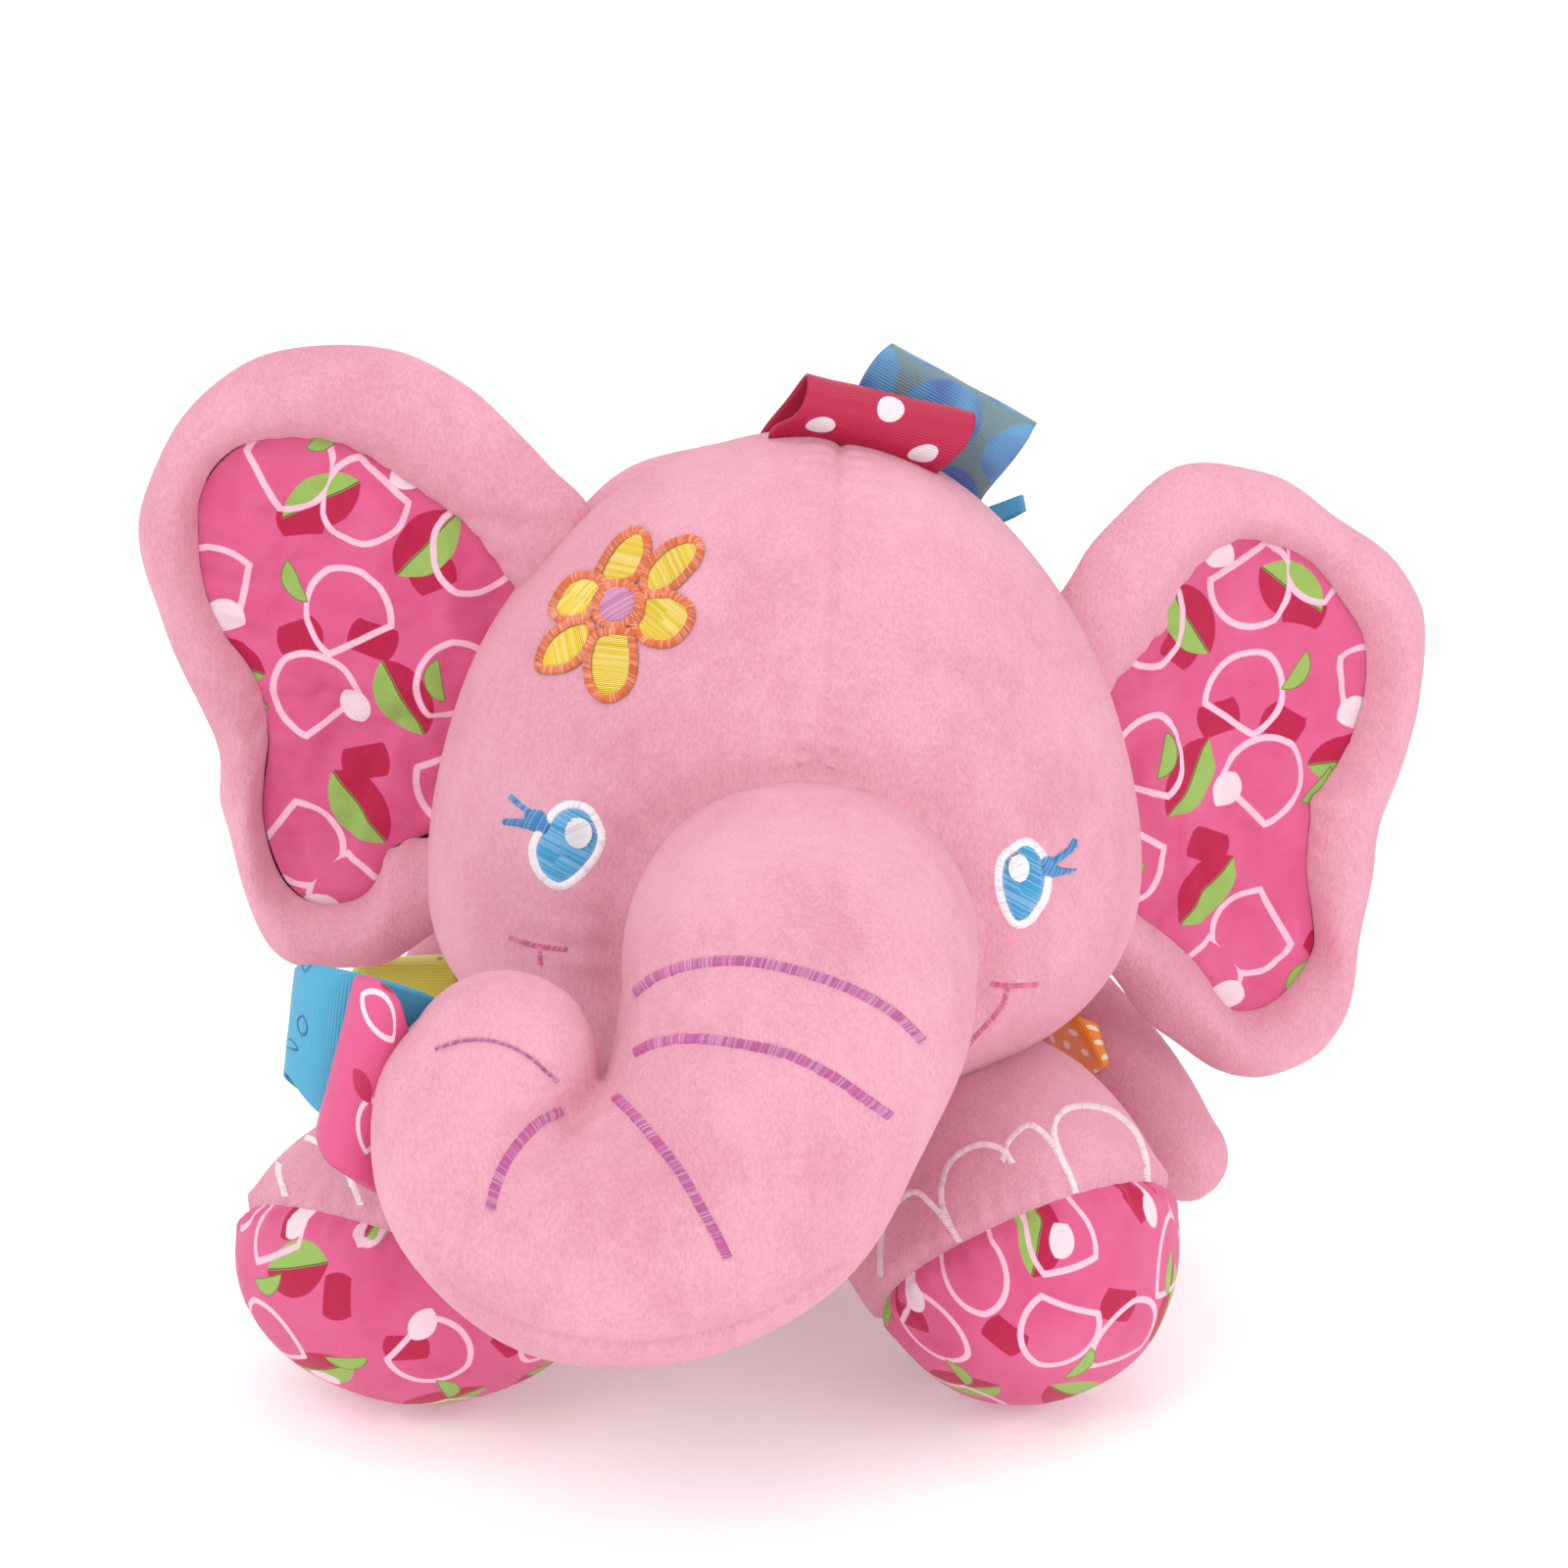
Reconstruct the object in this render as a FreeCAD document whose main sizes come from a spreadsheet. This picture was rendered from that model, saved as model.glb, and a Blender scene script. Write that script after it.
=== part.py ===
import FreeCAD, Part
import math
import os

# Sitting stuffed elephant.  Millimetres, +Z up, the face towards -Y.  Left and
# right are the toy's own sides, so left is +X.  The toy is drawn about the point
# of the ground below the middle of its head, and every part is then written to
# one STEP file in parts/, measured from the seat under the body.

Vector = FreeCAD.Vector

os.makedirs("parts", exist_ok=True)

SIZES = {
    # cloth and stuffing
    "cloth": 1.6,
    "clearance": 0.4,
    "seam_gap": 0.3,
    "none": 0,
    "filling_inset": 2.5,
    "thread_bottom": -0.4,
    "thread_top": -1.4,
    # head
    "head_half_width": 78,
    "head_half_depth": 68,
    "head_half_height": 71,
    "head_centre_height": 135,
    "head_turn": 8,
    "head_lean": 5,
    "head_seam_depth": 12,
    "head_room": -5,
    # trunk
    "trunk_root_radius": 36,
    "trunk_room": 11.5,
    "trunk_seam_depth": -112,
    # ears
    "ear_width": 96,
    "ear_height": 137,
    "ear_cloth": 2,
    "ear_thickness": 15,
    "ear_rim_width": 16,
    # body
    "body_middle": -14,
    "body_half_width": 52,
    "body_half_depth": 50,
    "body_half_height": 46,
    "body_centre_depth": 60,
    "body_centre_height": 43,
    "seat_behind_seam": 7,
    # limbs
    "hip_radius": 24.1,
    "hip_room": 2,
    "hip_spread": 35,
    "hip_depth": 26,
    "hip_height": 36,
    "sole_radius": 36,
    "sole_bulge": 9,
    "arm_radius": 10.5,
    # ribbons
    "ribbon_width": 38,
    "ribbon_thickness": 0.6,
    "small_ribbon_width": 24,
    "narrow_ribbon_width": 4,
}

doc = FreeCAD.newDocument("StuffedElephant")
sheet = doc.addObject("Spreadsheet::Sheet", "Sizes")
for row, (alias, value) in enumerate(SIZES.items(), start=1):
    sheet.set(f"A{row}", alias)
    sheet.set(f"B{row}", str(value))
    sheet.setAlias(f"B{row}", alias)
doc.recompute()

parts = []

# a distance well past the whole toy, for the blocks and beams that only cut
FAR = 200


def size(alias):
    """A driving dimension, read back from the sheet."""
    return float(getattr(sheet, alias))


def bind(obj, **expressions):
    for prop, expression in expressions.items():
        obj.setExpression(prop.replace("__", "."), str(expression))


def part(obj, label):
    """Mark an object as a finished sub-part, named after its file."""
    obj.Label = label
    parts.append(obj)
    return obj


def frame(position, along, up):
    """A placement at position whose local X follows along and local Z is nearest up."""
    rotation = FreeCAD.Rotation(along, Vector(), up, "XZY")
    return FreeCAD.Placement(position, rotation)


def ellipsoid(name, placement, half_width, half_depth, half_height):
    obj = doc.addObject("Part::Ellipsoid", name)
    bind(obj, Radius1=half_height, Radius2=half_width, Radius3=half_depth)
    obj.Placement = placement
    return obj


def sphere(name, centre, radius):
    obj = doc.addObject("Part::Sphere", name)
    bind(obj, Radius=radius)
    obj.Placement.Base = centre
    return obj


def box(name, placement, corner, length=2 * FAR, width=2 * FAR, height=2 * FAR):
    """A block whose first corner is at corner, in the placement's own axes."""
    obj = doc.addObject("Part::Box", name)
    bind(obj, Length=length, Width=width, Height=height)
    obj.Placement = placement.multiply(FreeCAD.Placement(corner, FreeCAD.Rotation()))
    return obj


def cut(name, base, *tools):
    for number, tool in enumerate(tools):
        obj = doc.addObject("Part::Cut", f"{name}_{number}")
        obj.Base = base
        obj.Tool = tool
        base = obj
    return base


def common(name, base, *tools):
    for number, tool in enumerate(tools):
        obj = doc.addObject("Part::Common", f"{name}_{number}")
        obj.Base = base
        obj.Tool = tool
        base = obj
    return base


def group(name, members):
    obj = doc.addObject("Part::Compound", name)
    obj.Links = members
    return obj


def ring(name, centre, direction, sideways, radius_alias, share, inset_alias):
    """A circle across a tube, its radius a share of one driving size less an inset."""
    circle = doc.addObject("Part::Circle", name)
    bind(circle, Radius=f"Sizes.{radius_alias} * {share[0]} - Sizes.{inset_alias} * {share[1]}")
    circle.Placement = FreeCAD.Placement(centre, FreeCAD.Rotation(sideways, Vector(), direction, "ZXY"))
    return circle


def tube(name, path, radius_alias, shares, inset_alias="none", domes=(True, True), last_direction=None):
    """A loft through circles along a path, its ends closed by round domes.

    Each circle's radius is its share of one driving size, less the inset.
    """
    directions = []
    for number in range(len(path)):
        before = path[max(number - 1, 0)]
        after = path[min(number + 1, len(path) - 1)]
        directions.append((after - before).normalize())
    if last_direction:
        directions[-1] = last_direction
    # (centre, direction, share of the radius, share of the inset)
    stations = [(p, d, share, 1) for p, d, share in zip(path, directions, shares)]
    dome_angles = (20, 42, 66)
    domed_ends = {0: -1, -1: 1}
    for end, outwards in domed_ends.items():
        if not domes[end]:
            continue
        centre, direction, share, _ = stations[end]
        reach = size(radius_alias) * share - size(inset_alias)
        dome = []
        for angle in reversed(dome_angles):
            width = math.sin(math.radians(angle))
            height = math.cos(math.radians(angle))
            middle = centre + direction * (outwards * reach * height)
            dome.append((middle, direction, share * width, width))
        stations = stations + dome if outwards > 0 else dome[::-1] + stations
    # the circles' start points are carried along the path, so that the loft does not twist
    sideways = Vector(0, 0, 1).cross(stations[0][1])
    circles = []
    for number, (centre, direction, share, inset_share) in enumerate(stations):
        sideways = (sideways - direction * sideways.dot(direction)).normalize()
        shares_here = (share, inset_share)
        circles.append(
            ring(f"{name}_ring_{number}", centre, direction, sideways, radius_alias, shares_here, inset_alias)
        )
    loft = doc.addObject("Part::Loft", name)
    loft.Sections = circles
    loft.Solid = True
    loft.Ruled = True
    return loft


def origin_plane(body, role):
    return next(f for f in body.Origin.OriginFeatures if f.Role == role)


def padded(name, placement, role, wires, length, offset="0", midplane=False):
    """A PartDesign body: one sketch of closed wires, padded by length."""
    body = doc.addObject("PartDesign::Body", name)
    sketch = body.newObject("Sketcher::SketchObject", f"{name}_sketch")
    sketch.AttachmentSupport = (origin_plane(body, role), [""])
    sketch.MapMode = "FlatFace"
    bind(sketch, AttachmentOffset__Base__z=offset)
    for wire in wires:
        sketch.addGeometry(wire, False)
    pad = body.newObject("PartDesign::Pad", f"{name}_pad")
    pad.Profile = sketch
    bind(pad, Length=length)
    if midplane:
        pad.SideType = "Symmetric"
    body.Placement = placement
    return body


# ---------------------------------------------------------------- shared shapes
ground = box("ground", FreeCAD.Placement(), Vector(-FAR, -FAR, -2 * FAR))

head_rotation = FreeCAD.Rotation(Vector(0, 0, 1), size("head_turn")).multiply(
    FreeCAD.Rotation(Vector(0, 1, 0), size("head_lean"))
)
head_place = FreeCAD.Placement(Vector(0, 0, size("head_centre_height")), head_rotation)


def head_form(name, inset):
    """The head's ellipsoid, drawn in by an inset of the sheet."""
    return ellipsoid(
        name,
        head_place,
        f"Sizes.head_half_width - Sizes.{inset}",
        f"Sizes.head_half_depth - Sizes.{inset}",
        f"Sizes.head_half_height - Sizes.{inset}",
    )


trunk_root = Vector(3.5, -46, 115)
trunk_socket = sphere("trunk_socket", trunk_root, "Sizes.trunk_root_radius + Sizes.trunk_room")


# ------------------------------------------------------------------------- head
def build_head():
    shell = cut("head_shell", head_form("head_outer", "none"), head_form("head_inner", "cloth"))
    shell = cut("head_sleeve", shell, trunk_socket)
    seam = size("head_seam_depth")
    gap = size("seam_gap") / 2
    front = -2 * FAR + seam - gap
    left = box("face_left_side", head_place, Vector(gap, front, -FAR))
    right = box("face_right_side", head_place, Vector(-2 * FAR - gap, front, -FAR))
    behind = box("head_behind", head_place, Vector(-FAR, seam + gap, -FAR))
    part(common("face_left", shell, left), "face_panel_left")
    part(common("face_right", shell, right), "face_panel_right")
    part(common("head_back", shell, behind), "head_back_panel")
    filling = head_form("head_filling", "filling_inset")
    part(cut("head_fill", filling, trunk_socket), "head_stuffing")


def head_direction(azimuth, elevation):
    """A direction from the head's middle: azimuth 0 is the nose and grows to the left."""
    turn = math.radians(azimuth)
    rise = math.radians(elevation)
    flat = math.cos(rise)
    local = Vector(flat * math.sin(turn), -flat * math.cos(turn), math.sin(rise))
    return head_rotation.multVec(local)


def head_patch(label, azimuth, elevation, half_width, half_height, tilt=0):
    """A thin embroidered patch on the face, with an oval outline."""
    direction = head_direction(azimuth, elevation)
    layer = cut(
        f"{label}_layer",
        head_form(f"{label}_top", "thread_top"),
        head_form(f"{label}_bottom", "thread_bottom"),
    )
    oval = doc.addObject("Part::Ellipse", f"{label}_oval")
    bind(oval, MajorRadius=max(half_width, half_height), MinorRadius=min(half_width, half_height))
    upright = 90 if half_height > half_width else 0
    sideways = Vector(0, 0, 1).cross(direction)
    rotation = FreeCAD.Rotation(sideways, Vector(), direction, "ZXY")
    spin = FreeCAD.Rotation(Vector(0, 0, 1), upright + tilt)
    oval.Placement = FreeCAD.Placement(head_place.Base, rotation.multiply(spin))
    beam = doc.addObject("Part::Extrusion", f"{label}_beam")
    beam.Base = oval
    beam.DirMode = "Custom"
    beam.Dir = direction
    beam.LengthFwd = FAR
    beam.Solid = True
    part(common(label, layer, beam), label)


build_head()
head_patch("eye_left_embroidery", 42, -11, 8.5, 10.5)
head_patch("eye_right_embroidery", -42, -11, 8.5, 10.5)
head_patch("flower_embroidery", -38, 33, 19, 17)
head_patch("smile_left_embroidery", 46, -33, 7, 2)
head_patch("smile_right_embroidery", -58, -30, 6, 2)


# ------------------------------------------------------------------------ trunk
trunk_path = [
    trunk_root,
    Vector(3.5, -80, 119),
    Vector(2, -101, 105),
    Vector(-5, -111, 85),
    Vector(-22, -113, 67),
    Vector(-44, -113, 61),
    Vector(-62, -113, 71),
    Vector(-69, -111, 88),
    Vector(-66, -109, 103),
]
trunk_taper = (1, 1, 0.94, 0.86, 0.78, 0.73, 0.66, 0.58, 0.54)


def trunk_form(name, inset):
    return tube(name, trunk_path, "trunk_root_radius", trunk_taper, inset)


def build_trunk():
    shell = cut("trunk_shell", trunk_form("trunk_outer", "none"), trunk_form("trunk_inner", "cloth"))
    seam = size("trunk_seam_depth")
    gap = size("seam_gap") / 2
    here = FreeCAD.Placement()
    front = box("trunk_front_side", here, Vector(-FAR, seam - gap - 2 * FAR, -FAR))
    back = box("trunk_back_side", here, Vector(-FAR, seam + gap, -FAR))
    part(common("trunk_front", shell, front), "trunk_front_panel")
    part(common("trunk_back", shell, back), "trunk_back_panel")
    part(trunk_form("trunk_filling", "filling_inset"), "trunk_stuffing")


def build_trunk_wrinkles():
    """Satin-stitch lines across the front of the trunk, thin slices of a skin layer."""
    layer = cut(
        "wrinkle_layer",
        trunk_form("wrinkle_top", "thread_top"),
        trunk_form("wrinkle_bottom", "thread_bottom"),
    )
    line_width = 2.5
    line_length = 44
    below_seam = 4
    reach_back = 60
    front_edge = size("trunk_seam_depth")
    slices = []
    # each line: a point of the path it crosses, and the path's slope there
    for number, station in enumerate((2, 3, 4, 6, 7)):
        centre = trunk_path[station]
        along = (trunk_path[station + 1] - trunk_path[station - 1]).normalize()
        along.y = 0
        across = along.cross(Vector(0, 1, 0))
        place = frame(centre, across, along)
        block = box(
            f"wrinkle_block_{number}",
            place,
            Vector(-line_length / 2, centre.y - front_edge + below_seam, -line_width / 2),
            line_length,
            reach_back,
            line_width,
        )
        slices.append(common(f"wrinkle_{number}", layer, block))
    part(group("wrinkles", slices), "trunk_wrinkle_embroidery")


build_trunk()
build_trunk_wrinkles()


# ------------------------------------------------------------------------- ears
# The outline runs round from the top of the root, as shares of the ear's width
# (outwards from the root) and of its height (up from the middle of the root).
ear_outline = [
    (-0.10, 0.30),
    (0.16, 0.44),
    (0.40, 0.50),
    (0.70, 0.46),
    (0.94, 0.25),
    (0.95, 0.02),
    (0.74, -0.19),
    (0.60, -0.34),
    (0.38, -0.49),
    (0.14, -0.49),
    (-0.06, -0.34),
]
ear_panel_middle = (0.50, 0.02)


def ear_wire(side, inset):
    """The ear's closed outline, drawn in towards the panel's middle by inset."""
    width = size("ear_width")
    height = size("ear_height")
    middle = Vector(ear_panel_middle[0] * width, ear_panel_middle[1] * height, 0)
    points = []
    for across, up in ear_outline:
        point = Vector(across * width, up * height, 0)
        inwards = (middle - point).normalize()
        point = point + inwards * inset
        points.append(Vector(side * point.x, point.y, 0))
    curve = Part.BSplineCurve()
    curve.interpolate(points, PeriodicFlag=True)
    return curve


def build_ear(name, side, position, axis, sweep):
    """Four layers: back cloth, wadding, front rim and the printed panel inside the rim."""
    wadding_inset = 3
    panel_gap = 0.5
    outwards = axis.cross(Vector(0, -side, 0))
    outwards = FreeCAD.Rotation(axis, side * sweep).multVec(outwards)
    # local X runs to the toy's left on both ears, so the outline is mirrored by side
    place = frame(position, outwards * side, axis)
    room = head_form(f"{name}_room", "head_room")
    rim_inset = size("ear_rim_width")
    half = "Sizes.ear_thickness / 2"
    layers = (
        ("back_panel", [ear_wire(side, 0)], "Sizes.ear_cloth", f"-{half}"),
        (
            "wadding",
            [ear_wire(side, wadding_inset)],
            "Sizes.ear_thickness - 2 * Sizes.ear_cloth - 2 * Sizes.clearance",
            f"-{half} + Sizes.ear_cloth + Sizes.clearance",
        ),
        (
            "front_rim",
            [ear_wire(side, 0), ear_wire(side, rim_inset)],
            "Sizes.ear_cloth",
            f"{half} - Sizes.ear_cloth",
        ),
        (
            "printed_panel",
            [ear_wire(side, rim_inset + panel_gap)],
            "Sizes.ear_cloth / 2",
            f"{half} - Sizes.ear_cloth",
        ),
    )
    for layer, wires, thickness, offset in layers:
        label = f"{name}_{layer}"
        body = padded(f"{label}_body", place, "XZ_Plane", wires, thickness, offset)
        part(cut(label, body, room), label)


build_ear("ear_left", 1, Vector(70.5, 12, 123), Vector(-0.156, 0, 0.988), 25)
build_ear("ear_right", -1, Vector(-61.8, 8, 142), Vector(0.343, 0, 0.939), 5)


# ------------------------------------------------------------------------- body
def body_form(name, inset, floor):
    place = FreeCAD.Placement(
        Vector(size("body_middle"), size("body_centre_depth"), size("body_centre_height")),
        FreeCAD.Rotation(),
    )
    form = ellipsoid(
        name,
        place,
        f"Sizes.body_half_width - Sizes.{inset}",
        f"Sizes.body_half_depth - Sizes.{inset}",
        f"Sizes.body_half_height - Sizes.{inset}",
    )
    below = box(f"{name}_floor", FreeCAD.Placement(), Vector(-FAR, -FAR, floor - 2 * FAR))
    return cut(f"{name}_seated", form, below)


def hip_centre(side):
    return Vector(size("body_middle") + side * size("hip_spread"), size("hip_depth"), size("hip_height"))


def build_body():
    openings = [head_form("neck_opening", "head_room")]
    for side, name in ((1, "left"), (-1, "right")):
        socket = sphere(f"hip_socket_{name}", hip_centre(side), "Sizes.hip_radius + Sizes.hip_room")
        openings.append(socket)
    outer = body_form("body_outer", "none", 0)
    inner = body_form("body_inner", "cloth", size("cloth"))
    shell = cut("body_sleeve", cut("body_shell", outer, inner), *openings)
    seam = size("body_centre_depth")
    gap = size("seam_gap") / 2
    here = FreeCAD.Placement()
    belly = box("body_front_side", here, Vector(-FAR, seam - gap - 2 * FAR, -FAR))
    back = box("body_back_side", here, Vector(-FAR, seam + gap, -FAR))
    part(common("body_belly", shell, belly), "body_belly_panel")
    part(common("body_back", shell, back), "body_back_panel")
    filling = body_form("body_filling", "filling_inset", size("filling_inset"))
    part(cut("body_fill", filling, *openings), "body_stuffing")


build_body()


# ------------------------------------------------------------------------- legs
def build_leg(name, side, sole_centre, sole_direction):
    """A tapering sleeve from the hip to the foot, closed by a domed printed sole."""
    sole_direction.normalize()
    foot_length = 22
    ankle_share = 0.52
    ankle_drop = Vector(0, 0, -1)
    hip = hip_centre(side)
    heel = sole_centre - sole_direction * foot_length
    ankle = hip * (1 - ankle_share) + heel * ankle_share + ankle_drop
    taper = (0.67, 0.74, 0.93, 1)

    def leg_form(form_name, inset, reach):
        path = [hip, ankle, heel, sole_centre + sole_direction * reach]
        return tube(form_name, path, "sole_radius", taper, inset, (True, False), sole_direction)

    sleeve = cut(
        f"{name}_shell",
        leg_form(f"{name}_outer", "none", 0),
        leg_form(f"{name}_inner", "cloth", 1),
        ground,
    )
    part(sleeve, f"{name}_sleeve")
    filling = leg_form(f"{name}_filling", "filling_inset", -1)
    part(filling, f"{name}_stuffing")

    # the sole: half of a flat ellipsoid shell, facing along the foot
    sole_rotation = FreeCAD.Rotation(Vector(1, 0, 0), Vector(), sole_direction, "ZXY")
    sole_place = FreeCAD.Placement(sole_centre + sole_direction * size("clearance"), sole_rotation)
    outer = ellipsoid(
        f"{name}_sole_outer",
        sole_place,
        "Sizes.sole_radius",
        "Sizes.sole_radius",
        "Sizes.sole_bulge",
    )
    inner = ellipsoid(
        f"{name}_sole_inner",
        sole_place,
        "Sizes.sole_radius - Sizes.cloth",
        "Sizes.sole_radius - Sizes.cloth",
        "Sizes.sole_bulge - Sizes.cloth",
    )
    ahead = box(f"{name}_sole_ahead", sole_place, Vector(-FAR, -FAR, 0))
    dome = cut(f"{name}_sole_shell", outer, inner, ground)
    part(common(f"{name}_sole", dome, ahead), f"{name}_sole_panel")

    # three toenail outlines over the top of the foot, ring-shaped slices of a skin layer
    layer = cut(
        f"{name}_nail_layer",
        leg_form(f"{name}_nail_top", "thread_top", 0),
        leg_form(f"{name}_nail_bottom", "thread_bottom", 1),
    )
    nail_radius = 9
    nail_line = 1.8
    nail_spread = 0.75
    nail_reach = 80
    nails_past_heel = 7
    sideways = Vector(0, 0, 1).cross(sole_direction).normalize()
    nails = []
    for number in (-1, 0, 1):
        lift = Vector(0, 0, 1) + sideways * number * nail_spread
        lift.normalize()
        centre = heel + sole_direction * nails_past_heel
        ring_place = frame(centre, sole_direction, lift)
        outer_ring = doc.addObject("Part::Cylinder", f"{name}_nail_outer_{number + 1}")
        inner_ring = doc.addObject("Part::Cylinder", f"{name}_nail_inner_{number + 1}")
        bind(outer_ring, Radius=nail_radius, Height=nail_reach)
        bind(inner_ring, Radius=nail_radius - nail_line, Height=nail_reach)
        outer_ring.Placement = ring_place
        inner_ring.Placement = ring_place
        ring = cut(f"{name}_nail_ring_{number + 1}", outer_ring, inner_ring)
        nails.append(common(f"{name}_nail_{number + 1}", layer, ring))
    part(group(f"{name}_nails", nails), f"{name}_toenail_embroidery")


build_leg("leg_left", 1, Vector(56, -60, 31.5), Vector(0.39, -0.784, -0.458))
build_leg("leg_right", -1, Vector(-88, -60, 31.5), Vector(-0.30, -0.83, -0.458))


# ------------------------------------------------------------------------- arms
def build_arm(name, shoulder, hand):
    path = [shoulder, (shoulder + hand) * 0.5, hand]
    taper = (1, 1, 1)

    def arm_form(form_name, inset):
        return tube(form_name, path, "arm_radius", taper, inset)

    shell = cut(f"{name}_cloth", arm_form(f"{name}_outer", "none"), arm_form(f"{name}_inner", "cloth"))
    part(shell, f"{name}_shell")
    part(arm_form(f"{name}_filling", "filling_inset"), f"{name}_stuffing")


build_arm("arm_left", Vector(44, 54, 69), Vector(91, 18, 34))
build_arm("arm_right", Vector(-72, 54, 69), Vector(-96, 30, 31))


# ---------------------------------------------------------------------- ribbons
def ribbon_loop(label, root, outwards, across, length, opening, width="ribbon_width"):
    """A folded ribbon: two parallel layers from the sewn edge, joined by a round fold."""
    outer = opening / 2
    inner = outer - size("ribbon_thickness")
    start = length - outer
    half_turn = math.pi / 2
    lines = []
    corners = {outer: [], inner: []}
    for radius in (outer, inner):
        for edge in (-radius, radius):
            lines.append(Part.LineSegment(Vector(0, edge, 0), Vector(start, edge, 0)))
            corners[radius].append(Vector(0, edge, 0))
        circle = Part.Circle(Vector(start, 0, 0), Vector(0, 0, 1), radius)
        lines.append(Part.ArcOfCircle(circle, -half_turn, half_turn))
    for below, above in zip(corners[outer], corners[inner]):
        lines.append(Part.LineSegment(below, above))
    rotation = FreeCAD.Rotation(outwards, Vector(), across, "XZY")
    place = FreeCAD.Placement(root, rotation)
    part(padded(f"{label}_body", place, "XY_Plane", lines, f"Sizes.{width}", midplane=True), label)


# each ribbon: the middle of its sewn edge, the way it points, the way that edge
# runs, how far it stands out and how far its two layers stand apart
ribbon_loop("head_ribbon_magenta", Vector(16.95, 7.8, 210.35), Vector(9, -4, 14), Vector(0.97, 0, -0.23), 18, 6)
ribbon_loop("head_ribbon_blue", Vector(30, 20, 201.5), Vector(12, 2, 17), Vector(0.88, 0, -0.48), 24, 6)
ribbon_loop(
    "hanging_loop",
    Vector(47, 32, 186),
    Vector(6, 4, 1),
    Vector(-0.2, 0, 1),
    12,
    7,
    "narrow_ribbon_width",
)
ribbon_loop(
    "trunk_ribbon_pink",
    Vector(-95.1, -108.95, 89.15),
    Vector(-0.65, 0.55, 0.33),
    Vector(0.26, 0, 0.97),
    22,
    7,
)
ribbon_loop("trunk_ribbon_blue", Vector(-87, -94, 104), Vector(-0.9, 0.4, 0.02), Vector(0, 0, 1), 24, 7)
ribbon_loop(
    "arm_ribbon_green",
    Vector(-88.5, 32.9, 59.7),
    Vector(-0.39, -0.5, 0.77),
    Vector(0.8, -0.2, 0.3),
    14,
    6,
)
ribbon_loop(
    "arm_ribbon_orange",
    Vector(64.3, 25.3, 60),
    Vector(-0.21, -0.82, 0.535),
    Vector(0.682, -0.5225, -0.508),
    14,
    6,
    "small_ribbon_width",
)


# ------------------------------------------------------------------------ write
doc.recompute()
for obj in doc.Objects:
    for fault in ("Invalid", "Error"):
        if fault in obj.State:
            raise RuntimeError(f"{obj.Name} is {obj.State}")
for obj in parts:
    if obj.Shape.isNull() or not obj.Shape.isValid() or not obj.Shape.Solids:
        raise RuntimeError(f"{obj.Label} has no valid solid")
seat = Vector(size("body_middle"), size("body_centre_depth") + size("seat_behind_seam"), 0)
for obj in parts:
    obj.Shape.translated(seat * -1).exportStep(f"parts/{obj.Label}.step")
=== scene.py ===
import math
import random

import bmesh
import bpy
import numpy as np
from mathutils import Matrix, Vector, geometry, noise
from mathutils.bvhtree import BVHTree


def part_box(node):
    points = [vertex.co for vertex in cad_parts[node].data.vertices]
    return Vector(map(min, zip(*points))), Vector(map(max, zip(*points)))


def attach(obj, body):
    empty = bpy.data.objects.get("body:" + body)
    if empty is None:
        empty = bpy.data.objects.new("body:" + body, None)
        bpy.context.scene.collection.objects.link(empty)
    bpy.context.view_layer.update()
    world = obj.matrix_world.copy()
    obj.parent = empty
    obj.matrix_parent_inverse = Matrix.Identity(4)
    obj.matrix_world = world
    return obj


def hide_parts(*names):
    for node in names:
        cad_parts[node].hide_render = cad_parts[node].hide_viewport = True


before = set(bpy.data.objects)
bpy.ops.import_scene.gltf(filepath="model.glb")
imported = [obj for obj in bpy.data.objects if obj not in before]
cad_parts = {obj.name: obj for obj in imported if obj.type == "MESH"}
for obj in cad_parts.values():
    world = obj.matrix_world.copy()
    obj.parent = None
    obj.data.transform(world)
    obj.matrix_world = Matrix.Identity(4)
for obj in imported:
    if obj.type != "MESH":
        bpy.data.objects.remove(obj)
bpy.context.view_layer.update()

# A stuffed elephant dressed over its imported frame.  The shapes are worked out in
# millimetres and written to the meshes in metres.  Left is the toy's own left, +X.

MM = 0.001
random.seed(7)

# The toy is drawn about the point of the ground below its head, where the middle
# of the body is at BODY_X and its back at BACK_Y, and then moved into the frame.
BODY_X = -14
BACK_Y = 110
back_low, back_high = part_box("body_back_panel")
FRAME_SHIFT = Vector(((back_low.x + back_high.x) / 2 - BODY_X * MM, back_high.y - BACK_Y * MM, 0))

# -------------------- the viewpoint
# Features of the face are placed as a viewer in front sees them: (x, up) in mm on
# the plane through the middle of the head that faces the camera.
VIEW_RISE = math.radians(20)
VIEW_DISTANCE = 1500
PICTURE_WIDTH = 354.2
VIEW_UP = Vector((0, math.sin(VIEW_RISE), math.cos(VIEW_RISE)))
VIEW_INTO = Vector((0, math.cos(VIEW_RISE), -math.sin(VIEW_RISE)))
HEAD_MIDDLE = Vector((-0.7, 0, 135))
PICTURE_MIDDLE = HEAD_MIDDLE + Vector((0.7, 0, 0)) - VIEW_UP * 6
CAMERA_PLACE = PICTURE_MIDDLE - VIEW_INTO * VIEW_DISTANCE


def plane_point(x, up):
    return HEAD_MIDDLE + Vector((x, 0, 0)) + VIEW_UP * up


def seen(x, up, depth):
    """The point at Y = depth that the viewer sees at (x, up)."""
    ray = plane_point(x, up) - CAMERA_PLACE
    return CAMERA_PLACE + ray * ((depth - CAMERA_PLACE.y) / ray.y)


def nearness(up, depth):
    """The true size of a thing at Y = depth, against its size as seen on the view plane."""
    return (depth - CAMERA_PLACE.y) / (plane_point(0, up).y - CAMERA_PLACE.y)


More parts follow.
